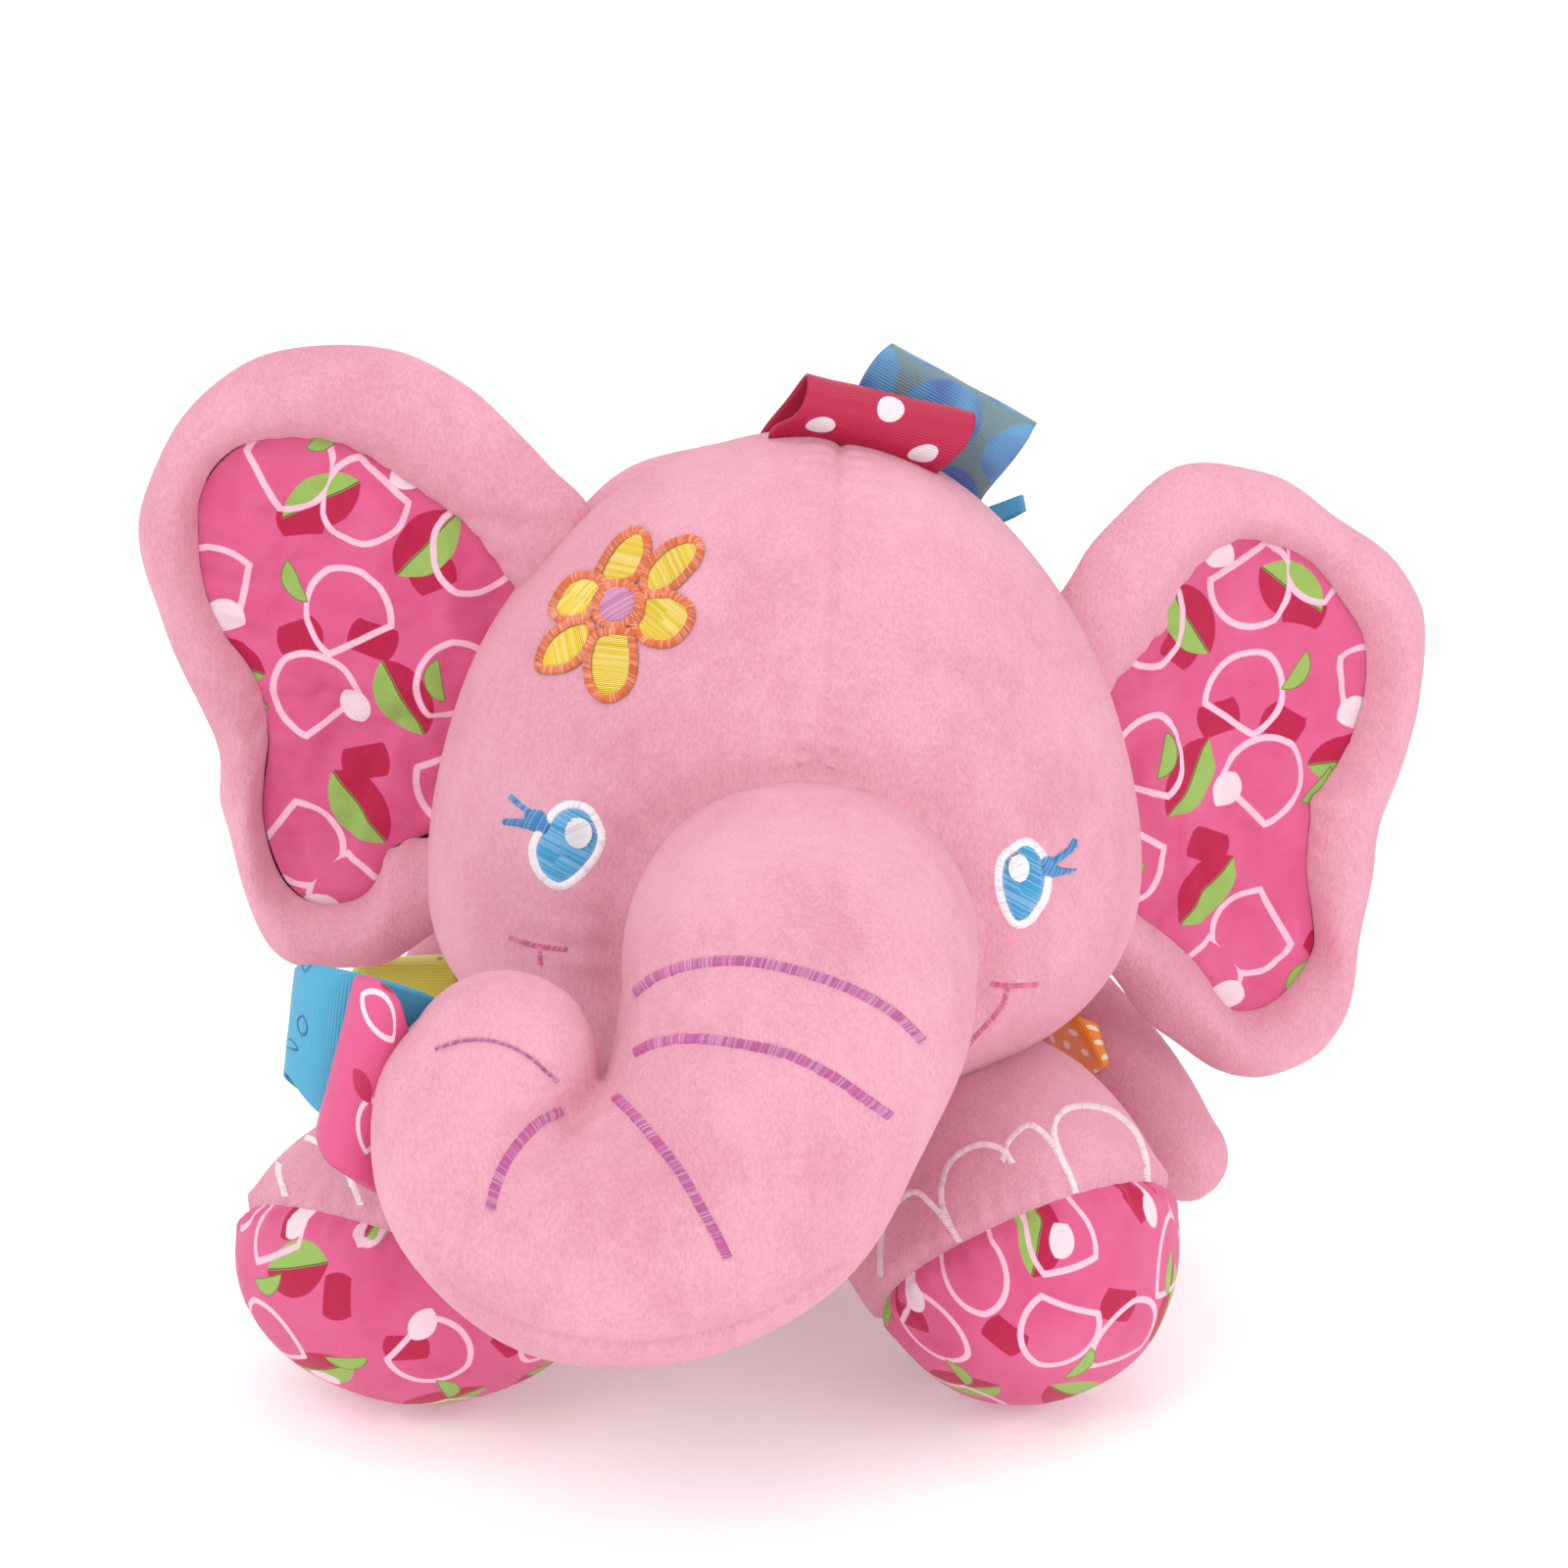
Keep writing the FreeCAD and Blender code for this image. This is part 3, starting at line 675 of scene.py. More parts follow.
class Stitching:
    """Stitches of one thread on one surface, each a small arched strip."""

    def __init__(self, surface, width, height):
        self.surface = surface
        self.width = width
        self.height = height
        self.points = []
        self.faces = []
        self.shade_tones = []

    def stitch(self, start, end, lift=0.0):
        """One stitch between two view-plane points."""
        start, end = np.array(start, float), np.array(end, float)
        side = np.array([-(end - start)[1], (end - start)[0]])
        reach = np.linalg.norm(side)
        if reach < SHORTEST_STITCH:
            return
        side *= self.width / 2 / reach
        rows = []
        for k in range(STITCH_STEPS + 1):
            t = k / STITCH_STEPS
            middle = start + (end - start) * t
            arch = self.height * (1 - (2 * t - 1) ** 4) + lift
            row = []
            for offset, rise in STITCH_SECTION:
                at = middle + side * offset
                place, normal = land(self.surface, at[0], at[1])
                if place is None:
                    return
                row.append(place + normal * (rise * arch + lift * 0.8 - 0.02))
            rows.append(row)
        tone = random.uniform(0.45, 1.0)
        first = len(self.points)
        for row in rows:
            self.points += row
            # Tone 0 at the stitch's two edges, which the thread material paints as shade in the gaps; the
            # random tone along the middle also sets its painted highlight.
            self.shade_tones += [0.0, tone, tone, 0.0]
        for k in range(STITCH_STEPS):
            for j in range(3):
                a = first + k * 4 + j
                self.faces.append((a, a + 1, a + 5, a + 4))

    def line(self, points, width, spacing=STITCH_SPACING, closed=False, lift=0.0):
        """Satin stitches laid across a line."""
        rows = resample(points, spacing, closed)
        total = len(rows)
        for number in range(total):
            before = rows[(number - 1) % total] if closed else rows[max(number - 1, 0)]
            after = rows[(number + 1) % total] if closed else rows[min(number + 1, total - 1)]
            along = (after - before) / max(np.linalg.norm(after - before), 1e-6)
            across = np.array([-along[1], along[0]])
            slant = along * spacing * 0.6
            half = across * width / 2 * random.uniform(0.93, 1.05)
            self.stitch(rows[number] - half - slant, rows[number] + half + slant, lift)

    def fill(self, outline, angle, longest, spacing=STITCH_SPACING, lift=0.0):
        """Parallel stitches filling a closed outline."""
        outline = np.asarray(outline, float)
        turn = math.radians(angle)
        along = np.array([math.cos(turn), math.sin(turn)])
        across = np.array([-along[1], along[0]])
        heights = outline @ across
        for level in np.arange(heights.min() + spacing / 2, heights.max(), spacing):
            crossings = []
            for a, b in zip(outline, np.roll(outline, -1, axis=0)):
                da, db = a @ across - level, b @ across - level
                if da * db < 0:
                    crossings.append((a + (b - a) * da / (da - db)) @ along)
            crossings.sort()
            for low, high in zip(crossings[::2], crossings[1::2]):
                pieces = max(1, round((high - low) / longest))
                cuts = [low + (high - low) * k / pieces for k in range(pieces + 1)]
                cuts = [cuts[0]] + [c + random.uniform(-1, 1) * 0.7 for c in cuts[1:-1]] + [cuts[-1]]
                for a, b in zip(cuts[:-1], cuts[1:]):
                    start = a if a == low else a - STITCH_OVERLAP
                    end = b if b == high else b + STITCH_OVERLAP
                    self.stitch(along * start + across * level, along * end + across * level, lift)

    def finish(self, name, thread_name, body, slot, *nodes):
        """Makes the stitches one object and fixes it to a body."""
        obj = make_object(name, self.points, self.faces, THREADS[thread_name])
        shade_tones = obj.data.attributes.new("stitch_shade_tone", "FLOAT", "POINT")
        shade_tones.data.foreach_set("value", self.shade_tones)
        dress(obj, body, slot, *nodes)


def oval(x, up, half_width, half_height, tilt=0.0, count=48):
    """A closed oval outline."""
    cos_tilt, sin_tilt = math.cos(math.radians(tilt)), math.sin(math.radians(tilt))
    rows = []
    for k in range(count):
        a = half_width * math.cos(2 * math.pi * k / count)
        b = half_height * math.sin(2 * math.pi * k / count)
        rows.append((x + a * cos_tilt - b * sin_tilt, up + a * sin_tilt + b * cos_tilt))
    return rows


def dress(obj, body, slot, *nodes):
    """Fixes a finished piece to a body and hides the frame nodes it stands for."""
    obj.location = FRAME_SHIFT
    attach(obj, body)
    if nodes:
        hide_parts(*nodes)


# -------------------- head
HEAD_HALF_WIDTH = 80.7
HEAD_HALF_DEPTH = 68
HEAD_ABOVE = 99
HEAD_BELOW = 50
HEAD_WIDEST = 111.6
CROWN_POWER = 1.9
CHIN_POWER = 2.6
CROWN_LEAN = 6
# the seam from ear to ear stands at SEAM_Y, and at the crown SEAM_LEAN further back
SEAM_Y = 10
SEAM_LEAN = 12
SEAM_GROOVE_DEPTH = 1.6
SEAM_GROOVE_WIDTH = 1.9
# the back panel swells out behind that seam, most at the crown and at one bulge
BACK_SWELL = 0.8
CROWN_SWELL = 1.6
BULGE_HEIGHT = 4.5
BULGE_REACH = 15
BULGE_PLACE = np.array(seen(-30, 57, 30))


def head_shape():
    """A pear lying on its broad end: a tall narrow crown over wide cheeks."""
    shape = bmesh.new()
    bmesh.ops.create_icosphere(shape, subdivisions=7, radius=1)
    ways = np.array([v.co[:] for v in shape.verts])
    faces = [[v.index for v in f.verts] for f in shape.faces]
    shape.free()
    rho = np.hypot(ways[:, 0], ways[:, 1])
    rise = ways[:, 2]
    power = np.where(rise < 0, CHIN_POWER, CROWN_POWER)
    reach = (rho ** power + np.abs(rise) ** power) ** (-1 / power)
    height = np.where(rise < 0, HEAD_BELOW, HEAD_ABOVE)
    points = ways * reach[:, None]
    points[:, 0] = points[:, 0] * HEAD_HALF_WIDTH + CROWN_LEAN * np.clip(points[:, 2], 0, 1) ** 6
    points[:, 1] *= HEAD_HALF_DEPTH
    points[:, 2] = points[:, 2] * height + HEAD_WIDEST
    return points, faces


head = make_object("head_plush", *head_shape(), PLUSH)
lumps(head, 1.1, 42, 1)

points = read_points(head)
crown_share = np.clip((points[:, 2] - HEAD_WIDEST) / HEAD_ABOVE, 0, 1)
behind = points[:, 1] - (SEAM_Y + SEAM_LEAN * crown_share)
step_up = 1 / (1 + np.exp(-(behind - 3) / 1.2))
bulge_distance = np.linalg.norm(points - BULGE_PLACE, axis=1)
bulge = BULGE_HEIGHT * np.exp(-(bulge_distance / BULGE_REACH) ** 2)
groove = SEAM_GROOVE_DEPTH * np.exp(-(behind / SEAM_GROOVE_WIDTH) ** 2)
swell = step_up * (BACK_SWELL + CROWN_SWELL * crown_share + bulge) - groove
write_points(head, points + read_normals(head) * swell[:, None])

CENTRE_SEAM = ((14.5, 76), (13.5, 70), (12.6, 52), (11.7, 33.9), (10.2, 16), (8, -3))
sew(head, land_line(surface_of(head), CENTRE_SEAM), rounds=2, hollow=(0.8, 3.2), cut=(1.3, 0.85))
sew(head, land_behind(surface_of(head), 0, 72, 200))

TRUNK_ROOT_SEAM = (
    (-38, -52), (-38, -41), (-37, -28), (-30, -19), (-21.5, -12.6), (-8, -7), (6.2, -4.9),
    (18.4, -6), (29.4, -10.4), (38.3, -19.3), (43.8, -30.3), (46, -41.4), (45, -54),
)
press_seam(head, land_line(surface_of(head), TRUNK_ROOT_SEAM), 2.6, 6.0, pucker=0.35, pucker_step=8)
HEAD_NODES = ("face_panel_left", "face_panel_right", "head_back_panel", "head_stuffing")
dress(head, "head", "pink_plush", *HEAD_NODES)
face = surface_of(head)

# -------------------- trunk
# (x, up, Y, seen radius) from inside the head, down, round and up to the tip
TRUNK_STATIONS = (
    (4.5, -43, -52, 40.0), (4.4, -46, -68, 40.6), (3.0, -58, -90, 39.4), (-3.2, -78, -104, 37.0),
    (-10.5, -92.5, -111, 35.6), (-29, -104.5, -114, 33.4), (-50, -103.5, -114, 31.4),
    (-64, -94, -112, 27.5), (-68.3, -80, -110, 24.4), (-63.5, -69, -108, 21.6),
)
TRUNK_WRINKLES = (
    ((-33, -53.1), (-27.9, -49.4), (-19.5, -46.7), (-8, -46), (5.5, -48.7), (17, -52.9),
     (25.5, -57.8), (32.1, -64)),
    ((-33, -66.6), (-27.9, -64.4), (-19.5, -63.5), (-8, -64.9), (2.2, -67.3), (12.2, -72.4),
     (18.8, -77), (24.6, -81)),
    ((-37.4, -76.6), (-33, -81), (-27.9, -87), (-22.8, -93.6), (-17.9, -102), (-14.6, -107.8),
     (-12, -113.1)),
    ((-49.6, -79.9), (-54.5, -82.4), (-58.7, -86.6), (-62, -91.2), (-64.2, -96.1), (-65.8, -102.3)),
)
TIP_WRINKLE = (
    (-77.9, -65.8), (-72.8, -64.2), (-67.1, -63.8), (-61.1, -65.3), (-56.2, -68.2), (-50.5, -73.3),
)
TRUNK_SIDE_SEAM = (
    (-88, -104), (-77.9, -116.9), (-67.1, -125.3), (-54.5, -130.2), (-41.2, -132.8),
    (-27.9, -132.8), (-14.6, -130.2), (0, -124.5), (14, -115),
)

trunk_path = [tuple(seen(x, up, depth)) for x, up, depth, _ in TRUNK_STATIONS]
trunk_radii = [radius * nearness(up, depth) for _, up, depth, radius in TRUNK_STATIONS]
trunk = fuse("trunk_plush", [sweep(trunk_path, trunk_radii, 90, 72)], 1.5, 6, PLUSH)
lumps(trunk, 1.0, 30, 2)
for wrinkle in TRUNK_WRINKLES:
    press_seam(trunk, land_line(surface_of(trunk), wrinkle), 0.7, 2.6, pucker=0.25, pucker_step=5)
press_seam(trunk, land_line(surface_of(trunk), TIP_WRINKLE), 0.7, 1.6)
side_seam_line = land_line(surface_of(trunk), TRUNK_SIDE_SEAM)
sew(trunk, side_seam_line, reach=3.5, hollow=(0.8, 3.0), cut=(1.2, 1.0), pucker=0.3)
dress(trunk, "trunk", "pink_plush", "trunk_front_panel", "trunk_back_panel", "trunk_stuffing")

wrinkles = Stitching(surface_of(trunk), 0.46, 0.6)
for wrinkle in TRUNK_WRINKLES:
    wrinkles.line(wrinkle, WRINKLE_WIDTH, 0.4)
wrinkles.line(TIP_WRINKLE, TIP_WRINKLE_WIDTH, 0.5)
wrinkles.finish("trunk_wrinkle_stitches", "purple", "trunk", "purple_thread", "trunk_wrinkle_embroidery")

# -------------------- face embroidery
EYE_RIGHT_IRIS = (
    (-48.75, -11.7), (-46, -11.6), (-43.6, -12.9), (-42, -15.6), (-41.4, -18.4), (-42.4, -21.5),
    (-44.8, -24.7), (-47.4, -27.1), (-49.9, -28.3), (-52.1, -27.3), (-53.9, -25.7), (-54.9, -23.5),
    (-55.3, -20.6), (-54.3, -18), (-52.3, -15.6), (-51.1, -13.4),
)
EYE_RIGHT_LASHES = (
    (-51.9, -14.8), (-53.3, -17.6), (-57.2, -16.4), (-59.8, -15.6), (-63, -15.2), (-62.6, -13.8),
    (-60.2, -13.8), (-57.8, -13.8), (-57.8, -12.5), (-59.8, -10.9), (-61.6, -9.5), (-60.8, -8.1),
    (-58.6, -10.3), (-56.3, -11.7), (-53.9, -11.9), (-52.3, -13.6),
)
EYE_LEFT_IRIS = (
    (52.8, -21.3), (54.6, -20), (56.5, -20.3), (58.5, -22.5), (59.3, -25.2), (59.5, -28),
    (58.9, -31.4), (57.5, -33.9), (56.1, -35.9), (53.8, -36.9), (52, -35.3), (50.8, -32.4),
    (50.2, -29.6), (50, -26.4), (50.6, -23.3),
)
EYE_LEFT_LASHES = (
    (58.9, -22.9), (59.7, -22.1), (61.7, -22.5), (63.6, -21.3), (65.4, -19.7), (66, -18.1),
    (67, -18.5), (66.8, -19.9), (65, -22.1), (63.4, -23.3), (62.1, -24.1), (63.6, -24.9),
    (66.8, -25.2), (65, -26.2), (62.5, -26.8), (60.5, -27.4), (59.3, -27.2), (58.7, -25.2),
)


def grown(outline, amount):
    """The outline moved outwards from its middle."""
    outline = np.asarray(outline, float)
    away = outline - outline.mean(axis=0)
    return outline + away / np.linalg.norm(away, axis=1)[:, None] * amount


def embroider_eye(name, iris, lashes, highlight):
    """An eye's pale edge, iris and lashes, and an oval highlight."""
    white = Stitching(face, 0.45, 0.35)
    white.line(grown(iris, 0.9), BORDER_WIDTH, closed=True)
    white.finish(name + "_white_edge", "white", "head", "white_thread")
    blue = Stitching(face, 0.46, 0.5)
    blue.fill(resample(iris, 0.8, True), -28, 6)
    blue.finish(name + "_iris", "blue", "head", "blue_thread", name + "_embroidery")
    dark = Stitching(face, 0.46, 0.7)
    dark.fill(lashes, 62, 4, 0.4)
    dark.finish(name + "_lashes", "lash", "head", "blue_thread")
    spark = Stitching(face, 0.45, 0.5)
    spark.fill(oval(*highlight), 25, 6, 0.4, lift=0.45)
    spark.finish(name + "_highlight", "white", "head", "white_thread")


embroider_eye("eye_right", EYE_RIGHT_IRIS, EYE_RIGHT_LASHES, (-45.4, -17, 3.0, 3.4))
embroider_eye("eye_left", EYE_LEFT_IRIS, EYE_LEFT_LASHES, (53.4, -24.9, 2.3, 3.0))

SMILES = {
    "smile_right": (
        ((-61.3, -40.7), (-55.6, -42.5), (-48.5, -43.4)), ((-54.6, -42.8), (-54.3, -46.9)),
    ),
    "smile_left": (
        ((47.6, -51.2), (52, -51.6), (58, -51.4)),
        ((51.1, -51.8), (50.6, -54.5), (48.9, -57.6), (44.1, -62.9), (39.2, -68.4)),
    ),
}
for name, strokes in SMILES.items():
    smile = Stitching(face, 0.42, 0.4)
    for stroke in strokes:
        smile.line(stroke, SMILE_WIDTH)
    smile.finish(name + "_stitches", "mouth", "head", "purple_thread", name + "_embroidery")

PETALS = (
    (-12, ((-41.1, 41.9), (-38.5, 46.7), (-36, 49.5), (-32.6, 51.2), (-30.5, 50.1), (-30, 46.7),
           (-30.9, 43.6), (-33.1, 40.2), (-37.7, 39.1), (-40.5, 40.2))),
    (115, ((-30.9, 39.1), (-30.3, 42.5), (-27.5, 46.1), (-24.1, 48.4), (-20.4, 49.3), (-18.2, 47.8),
           (-18.7, 44.7), (-21.3, 41.3), (-24.7, 38.2), (-28.1, 36.8), (-30.6, 37.4))),
    (-40, ((-30.9, 36.3), (-27.5, 36.8), (-24.1, 36.5), (-20.7, 34), (-20.2, 31.2), (-21.9, 28.1),
           (-24.7, 25.8), (-28.1, 25.5), (-31.5, 26.9), (-33.1, 30), (-31.7, 32.3))),
    (-6, ((-41.3, 27.8), (-34.6, 28.4), (-33.4, 25.5), (-33.1, 22.4), (-33.7, 17.6), (-35.7, 14.5),
          (-39.4, 13.1), (-42.5, 15.4), (-43.6, 19.3), (-43.3, 23.8))),
    (102, ((-43.9, 30.9), (-47.6, 30.3), (-51.5, 27.8), (-53.8, 24.4), (-54.6, 20.4), (-51.8, 19.6),
           (-47.8, 20.4), (-44.7, 23), (-42.5, 27.2), (-42.8, 29.8))),
    (48, ((-41.1, 40.2), (-44.4, 41.1), (-47.6, 39.9), (-50.1, 36.8), (-51.5, 33.7), (-50.4, 31.5),
          (-47.6, 30.9), (-43.9, 31.7), (-42.2, 34), (-39.9, 37.1))),
)
FLOWER_MIDDLE = (-36.8, 34.4)
yellow = Stitching(face, 0.46, 0.4)
border = Stitching(face, 0.46, 0.6)
for angle, outline in PETALS:
    yellow.fill(resample(outline, 0.8, True), angle, 7)
    border.line(outline, BORDER_WIDTH, closed=True, lift=0.25)
border.line(oval(*FLOWER_MIDDLE, 5.3, 4.5, 40), BORDER_WIDTH, closed=True, lift=0.35)
middle = Stitching(face, 0.46, 0.5)
middle.fill(oval(*FLOWER_MIDDLE, 4.5, 3.6, 40), 30, 7, lift=0.3)
yellow.finish("flower_petals", "yellow", "head", "yellow_thread", "flower_embroidery")
border.finish("flower_border", "orange", "head", "yellow_thread")
middle.finish("flower_middle", "lilac", "head", "purple_thread")


# -------------------- ears
class Ear:
    """A flat frame for one ear: u out from the root line, v up along it, h towards the front."""

    def __init__(self, root, axis, side, swept_degrees):
        self.root = Vector(root)
        self.axis = Vector(axis).normalized()
        flat = Vector((side * self.axis.z, 0, -side * self.axis.x))
        sweep_angle = math.radians(swept_degrees)
        self.outward = flat * math.cos(sweep_angle) + Vector((0, 1, 0)) * math.sin(sweep_angle)
        self.front = self.outward.cross(self.axis) * side
        if self.front.y > 0:
            self.front.negate()

    def flat(self, x, up):
        """The ear's own (u, v) at a view-plane point."""
        ray = plane_point(x, up) - CAMERA_PLACE
        t = (self.root - CAMERA_PLACE).dot(self.front) / ray.dot(self.front)
        local = CAMERA_PLACE + ray * t - self.root
        return local.dot(self.outward), local.dot(self.axis)

    def space(self, u, v, h=0.0):
        return self.root + self.outward * u + self.axis * v + self.front * h


EAR_FRONT_PUFF = 8.5
EAR_BACK_PUFF = 7.0
EAR_ANGLES = 360
EAR_RIM_RINGS = 20
EAR_BACK_RINGS = (0.992, 0.975, 0.95, 0.915, 0.87, 0.81, 0.74, 0.66, 0.57, 0.47, 0.36, 0.24, 0.12, 0.03)
EAR_PUCKER = 0.55
EAR_PUCKER_STEP = 6.2


def polar(outline, centre):
    """Radii of a closed outline at even angles round a centre."""
    rows = resample(outline, 0.8, True) - np.asarray(centre)
    angles = np.arctan2(rows[:, 1], rows[:, 0]) % (2 * math.pi)
    order = np.argsort(angles)
    wanted = np.linspace(0, 2 * math.pi, EAR_ANGLES, endpoint=False)
    return np.interp(wanted, angles[order], np.hypot(rows[:, 0], rows[:, 1])[order], period=2 * math.pi)


def ear_skin(ear, outline, inner, centre):
    """The padded rim in front and the whole back panel: (points, faces)."""
    outer_radii = polar(outline, centre)
    inner_radii = polar(inner, centre)
    angles = np.linspace(0, 2 * math.pi, EAR_ANGLES, endpoint=False)
    ways = np.column_stack([np.cos(angles), np.sin(angles)])
    edge = ways * inner_radii[:, None]
    walked = np.concatenate([[0], np.cumsum(np.linalg.norm(np.diff(edge, axis=0), axis=1))])
    rings = []
    for t in (1 - np.cos(np.linspace(0, math.pi, EAR_RIM_RINGS))) / 2:
        radii = inner_radii + (outer_radii - inner_radii) * t
        width = np.minimum(outer_radii - inner_radii, 20)
        puff = np.minimum(EAR_FRONT_PUFF, 0.52 * width) * math.sin(math.pi * t) ** 0.62
        fading = math.exp(-t / 0.12) * (t > 0)
        pucker = EAR_PUCKER * np.cos(2 * math.pi * walked / EAR_PUCKER_STEP) * fading
        rings.append((radii, puff + pucker + 0.4 * (1 - t)))
    for f in EAR_BACK_RINGS:
        rings.append((outer_radii * f, -EAR_BACK_PUFF * math.sqrt(1 - f ** 5) * np.ones(EAR_ANGLES)))
    points = []
    for radii, height in rings:
        for way, radius, h in zip(ways, radii, height):
            points.append(ear.space(centre[0] + way[0] * radius, centre[1] + way[1] * radius, h))
    faces = ring_faces(len(rings), EAR_ANGLES)
    faces.append(tuple(range(len(points) - EAR_ANGLES, len(points))))
    return points, faces


def inside_outline(point, outline):
    hit = False
    for (ax, ay), (bx, by) in zip(outline, np.roll(outline, -1, axis=0)):
        if (ay > point[1]) != (by > point[1]):
            if point[0] < ax + (bx - ax) * (point[1] - ay) / (by - ay):
                hit = not hit
    return hit


def flat_cloth(name, outline, to_space, spacing, material):
    """A flat cloth panel filling an outline, meshed evenly; returns it and its edge count."""
    edge = resample(outline, spacing, True)
    low, high = edge.min(axis=0), edge.max(axis=0)
    grid = []
    for row, v in enumerate(np.arange(low[1], high[1], spacing * 0.87)):
        for u in np.arange(low[0] + (row % 2) * spacing / 2, high[0], spacing):
            if inside_outline((u, v), edge):
                if np.min(np.hypot(edge[:, 0] - u, edge[:, 1] - v)) > spacing * 0.6:
                    grid.append((u, v))
    flat = [Vector(p) for p in edge] + [Vector(p) for p in grid]
    sides = [(k, (k + 1) % len(edge)) for k in range(len(edge))]
    made = geometry.delaunay_2d_cdt(flat, sides, [list(range(len(edge)))], 1, 1e-4)
    places = made[0]
    obj = make_object(name, [to_space(p[0], p[1]) for p in places], made[2], material)
    give_cloth(obj, [(p[0], p[1]) for p in places])
    return obj, len(edge)


SETTLE_FRAMES = 24
PANEL_CLOTH = {
    "vertex_group_mass": "edge", "quality": 8, "mass": 0.2, "bending_stiffness": 0.02,
    "tension_stiffness": 12, "compression_stiffness": 12, "shear_stiffness": 4, "use_pressure": True,
}


def settle(obj, edge_count, slack, pressure, limit):
    """Lets a sewn-in panel crease and puff: its edge is held and its cloth is a little too large."""
    before = read_points(obj)
    held = obj.vertex_groups.new(name="edge")
    held.add(list(range(edge_count)), 1.0, "REPLACE")
    cloth = obj.modifiers.new("cloth", "CLOTH")
    for setting, value in PANEL_CLOTH.items():
        setattr(cloth.settings, setting, value)
    cloth.settings.shrink_min = -slack
    cloth.settings.uniform_pressure_force = pressure
    cloth.settings.effector_weights.gravity = 0
    cloth.collision_settings.use_collision = False
    cloth.point_cache.frame_end = SETTLE_FRAMES
    for frame_number in range(1, SETTLE_FRAMES + 1):
        bpy.context.scene.frame_set(frame_number)
    apply_modifiers(obj)
    obj.vertex_groups.clear()
    move = read_points(obj) - before
    reach = np.linalg.norm(move, axis=1)[:, None]
    move *= np.minimum(1, limit / np.maximum(reach, 1e-6))
    write_points(obj, before + move)
    round_off = obj.modifiers.new("round", "SUBSURF")
    round_off.levels = 1
    round_off.render_levels = 1
    apply_modifiers(obj)
    return obj


EAR_RIGHT_OUTLINE = (
    (-43, 55), (-52, 65.5), (-61, 75), (-70, 83.5), (-83, 90), (-97, 93), (-108.5, 92.3),
    (-121, 88.6), (-132.6, 80), (-140.4, 69.3), (-144.6, 56.7), (-144, 46.3), (-139.3, 32),
    (-134.6, 19.3), (-129.7, 7.7), (-127, 0), (-126.4, -9.5), (-124.4, -17), (-122, -29.7),
    (-117.3, -40.3), (-111.4, -46), (-103.8, -47.6), (-90.3, -46.3), (-80, -40), (-64, -28),
    (-52, 5), (-40, 35),
)
EAR_RIGHT_PRINT = (
    (-131.7, 54.9), (-130.6, 59.6), (-127, 65.5), (-121, 70.2), (-111.4, 72.8), (-101.8, 72.6),
    (-94, 69.3), (-88.3, 65.5), (-80.8, 60.2), (-71, 53.4), (-65.3, 46.3), (-59.6, 38.5),
    (-54, 30), (-60, 5), (-72, -12), (-80.8, -17), (-88.3, -19.9), (-90.3, -25.7), (-94, -30.6),
    (-99.8, -32.5), (-105.6, -32.1), (-110.5, -28.6), (-114.2, -21.9), (-116.7, -12.4),
    (-116.2, -3.8), (-115.3, 4), (-116.7, 12.6), (-120.2, 20.4), (-126, 27.9), (-129.7, 35.6),
    (-131.7, 44.3),
)
EAR_LEFT_OUTLINE = (
    (52, 22), (63.5, 38.3), (69.7, 47.8), (78.4, 56.5), (86, 64.2), (92, 67), (100.5, 67),
    (110, 64.2), (120.7, 58.4), (131.3, 50.7), (138.8, 44), (143.7, 35.2), (144.6, 25.7),
    (143.2, 14.2), (140.8, 4.6), (137, -8), (134.2, -17.5), (132.2, -30), (130.2, -41.4),
    (127.7, -53), (124.4, -61.5), (119.8, -67.5), (112, -71.3), (104.3, -71.7), (94.8, -68.4),
    (84, -60.7), (76, -51), (64, -36), (56, -8),
)
EAR_LEFT_PRINT = (
    (72, 10), (76, 18), (80.4, 23), (85, 30.5), (88, 37.2), (92.8, 43), (99.6, 47.8),
    (106.3, 49.4), (115, 46.3), (121.5, 42), (127.3, 35.2), (131.3, 27.7), (132, 18),
    (130.6, 8.4), (127.3, 0.7), (122.6, -6), (119.8, -10.8), (118.7, -18.4), (118.7, -27),
    (119.8, -36.7), (119.8, -43.4), (115.8, -50), (110, -55.3), (103.4, -57), (99.6, -55),
    (94, -47.2), (87, -40.5), (78, -33), (68, -20), (67, -5),
)


def build_ear(name, ear, outline, inner, centre_seen, creases, seed):
    """One ear: its plush with creases pressed in, and its printed panel."""
    outline = np.array([ear.flat(x, up) for x, up in outline])
    inner = np.array([ear.flat(x, up) for x, up in inner])
    centre = ear.flat(*centre_seen)
    skin = make_object(name + "_plush", *ear_skin(ear, outline, inner, centre), PLUSH)
    lumps(skin, 1.3, 22, seed)
    for crease in creases:
        press_seam(skin, land_line(surface_of(skin), crease), 1.3, 2.4)
    dress(skin, name, "pink_plush", name + "_back_panel", name + "_wadding", name + "_front_rim")
    tucked = centre + (inner - centre) * 1.012
    panel, edge_count = flat_cloth(
        name + "_print", tucked, lambda u, v: ear.space(u, v, 0.2), 2.6, PRINT
    )
    if panel.data.polygons[0].normal.dot(ear.front) < 0:
        panel.data.flip_normals()
    settle(panel, edge_count, 0.045, 0.6, 3.0)
    dress(panel, name, "printed_fabric", name + "_printed_panel")


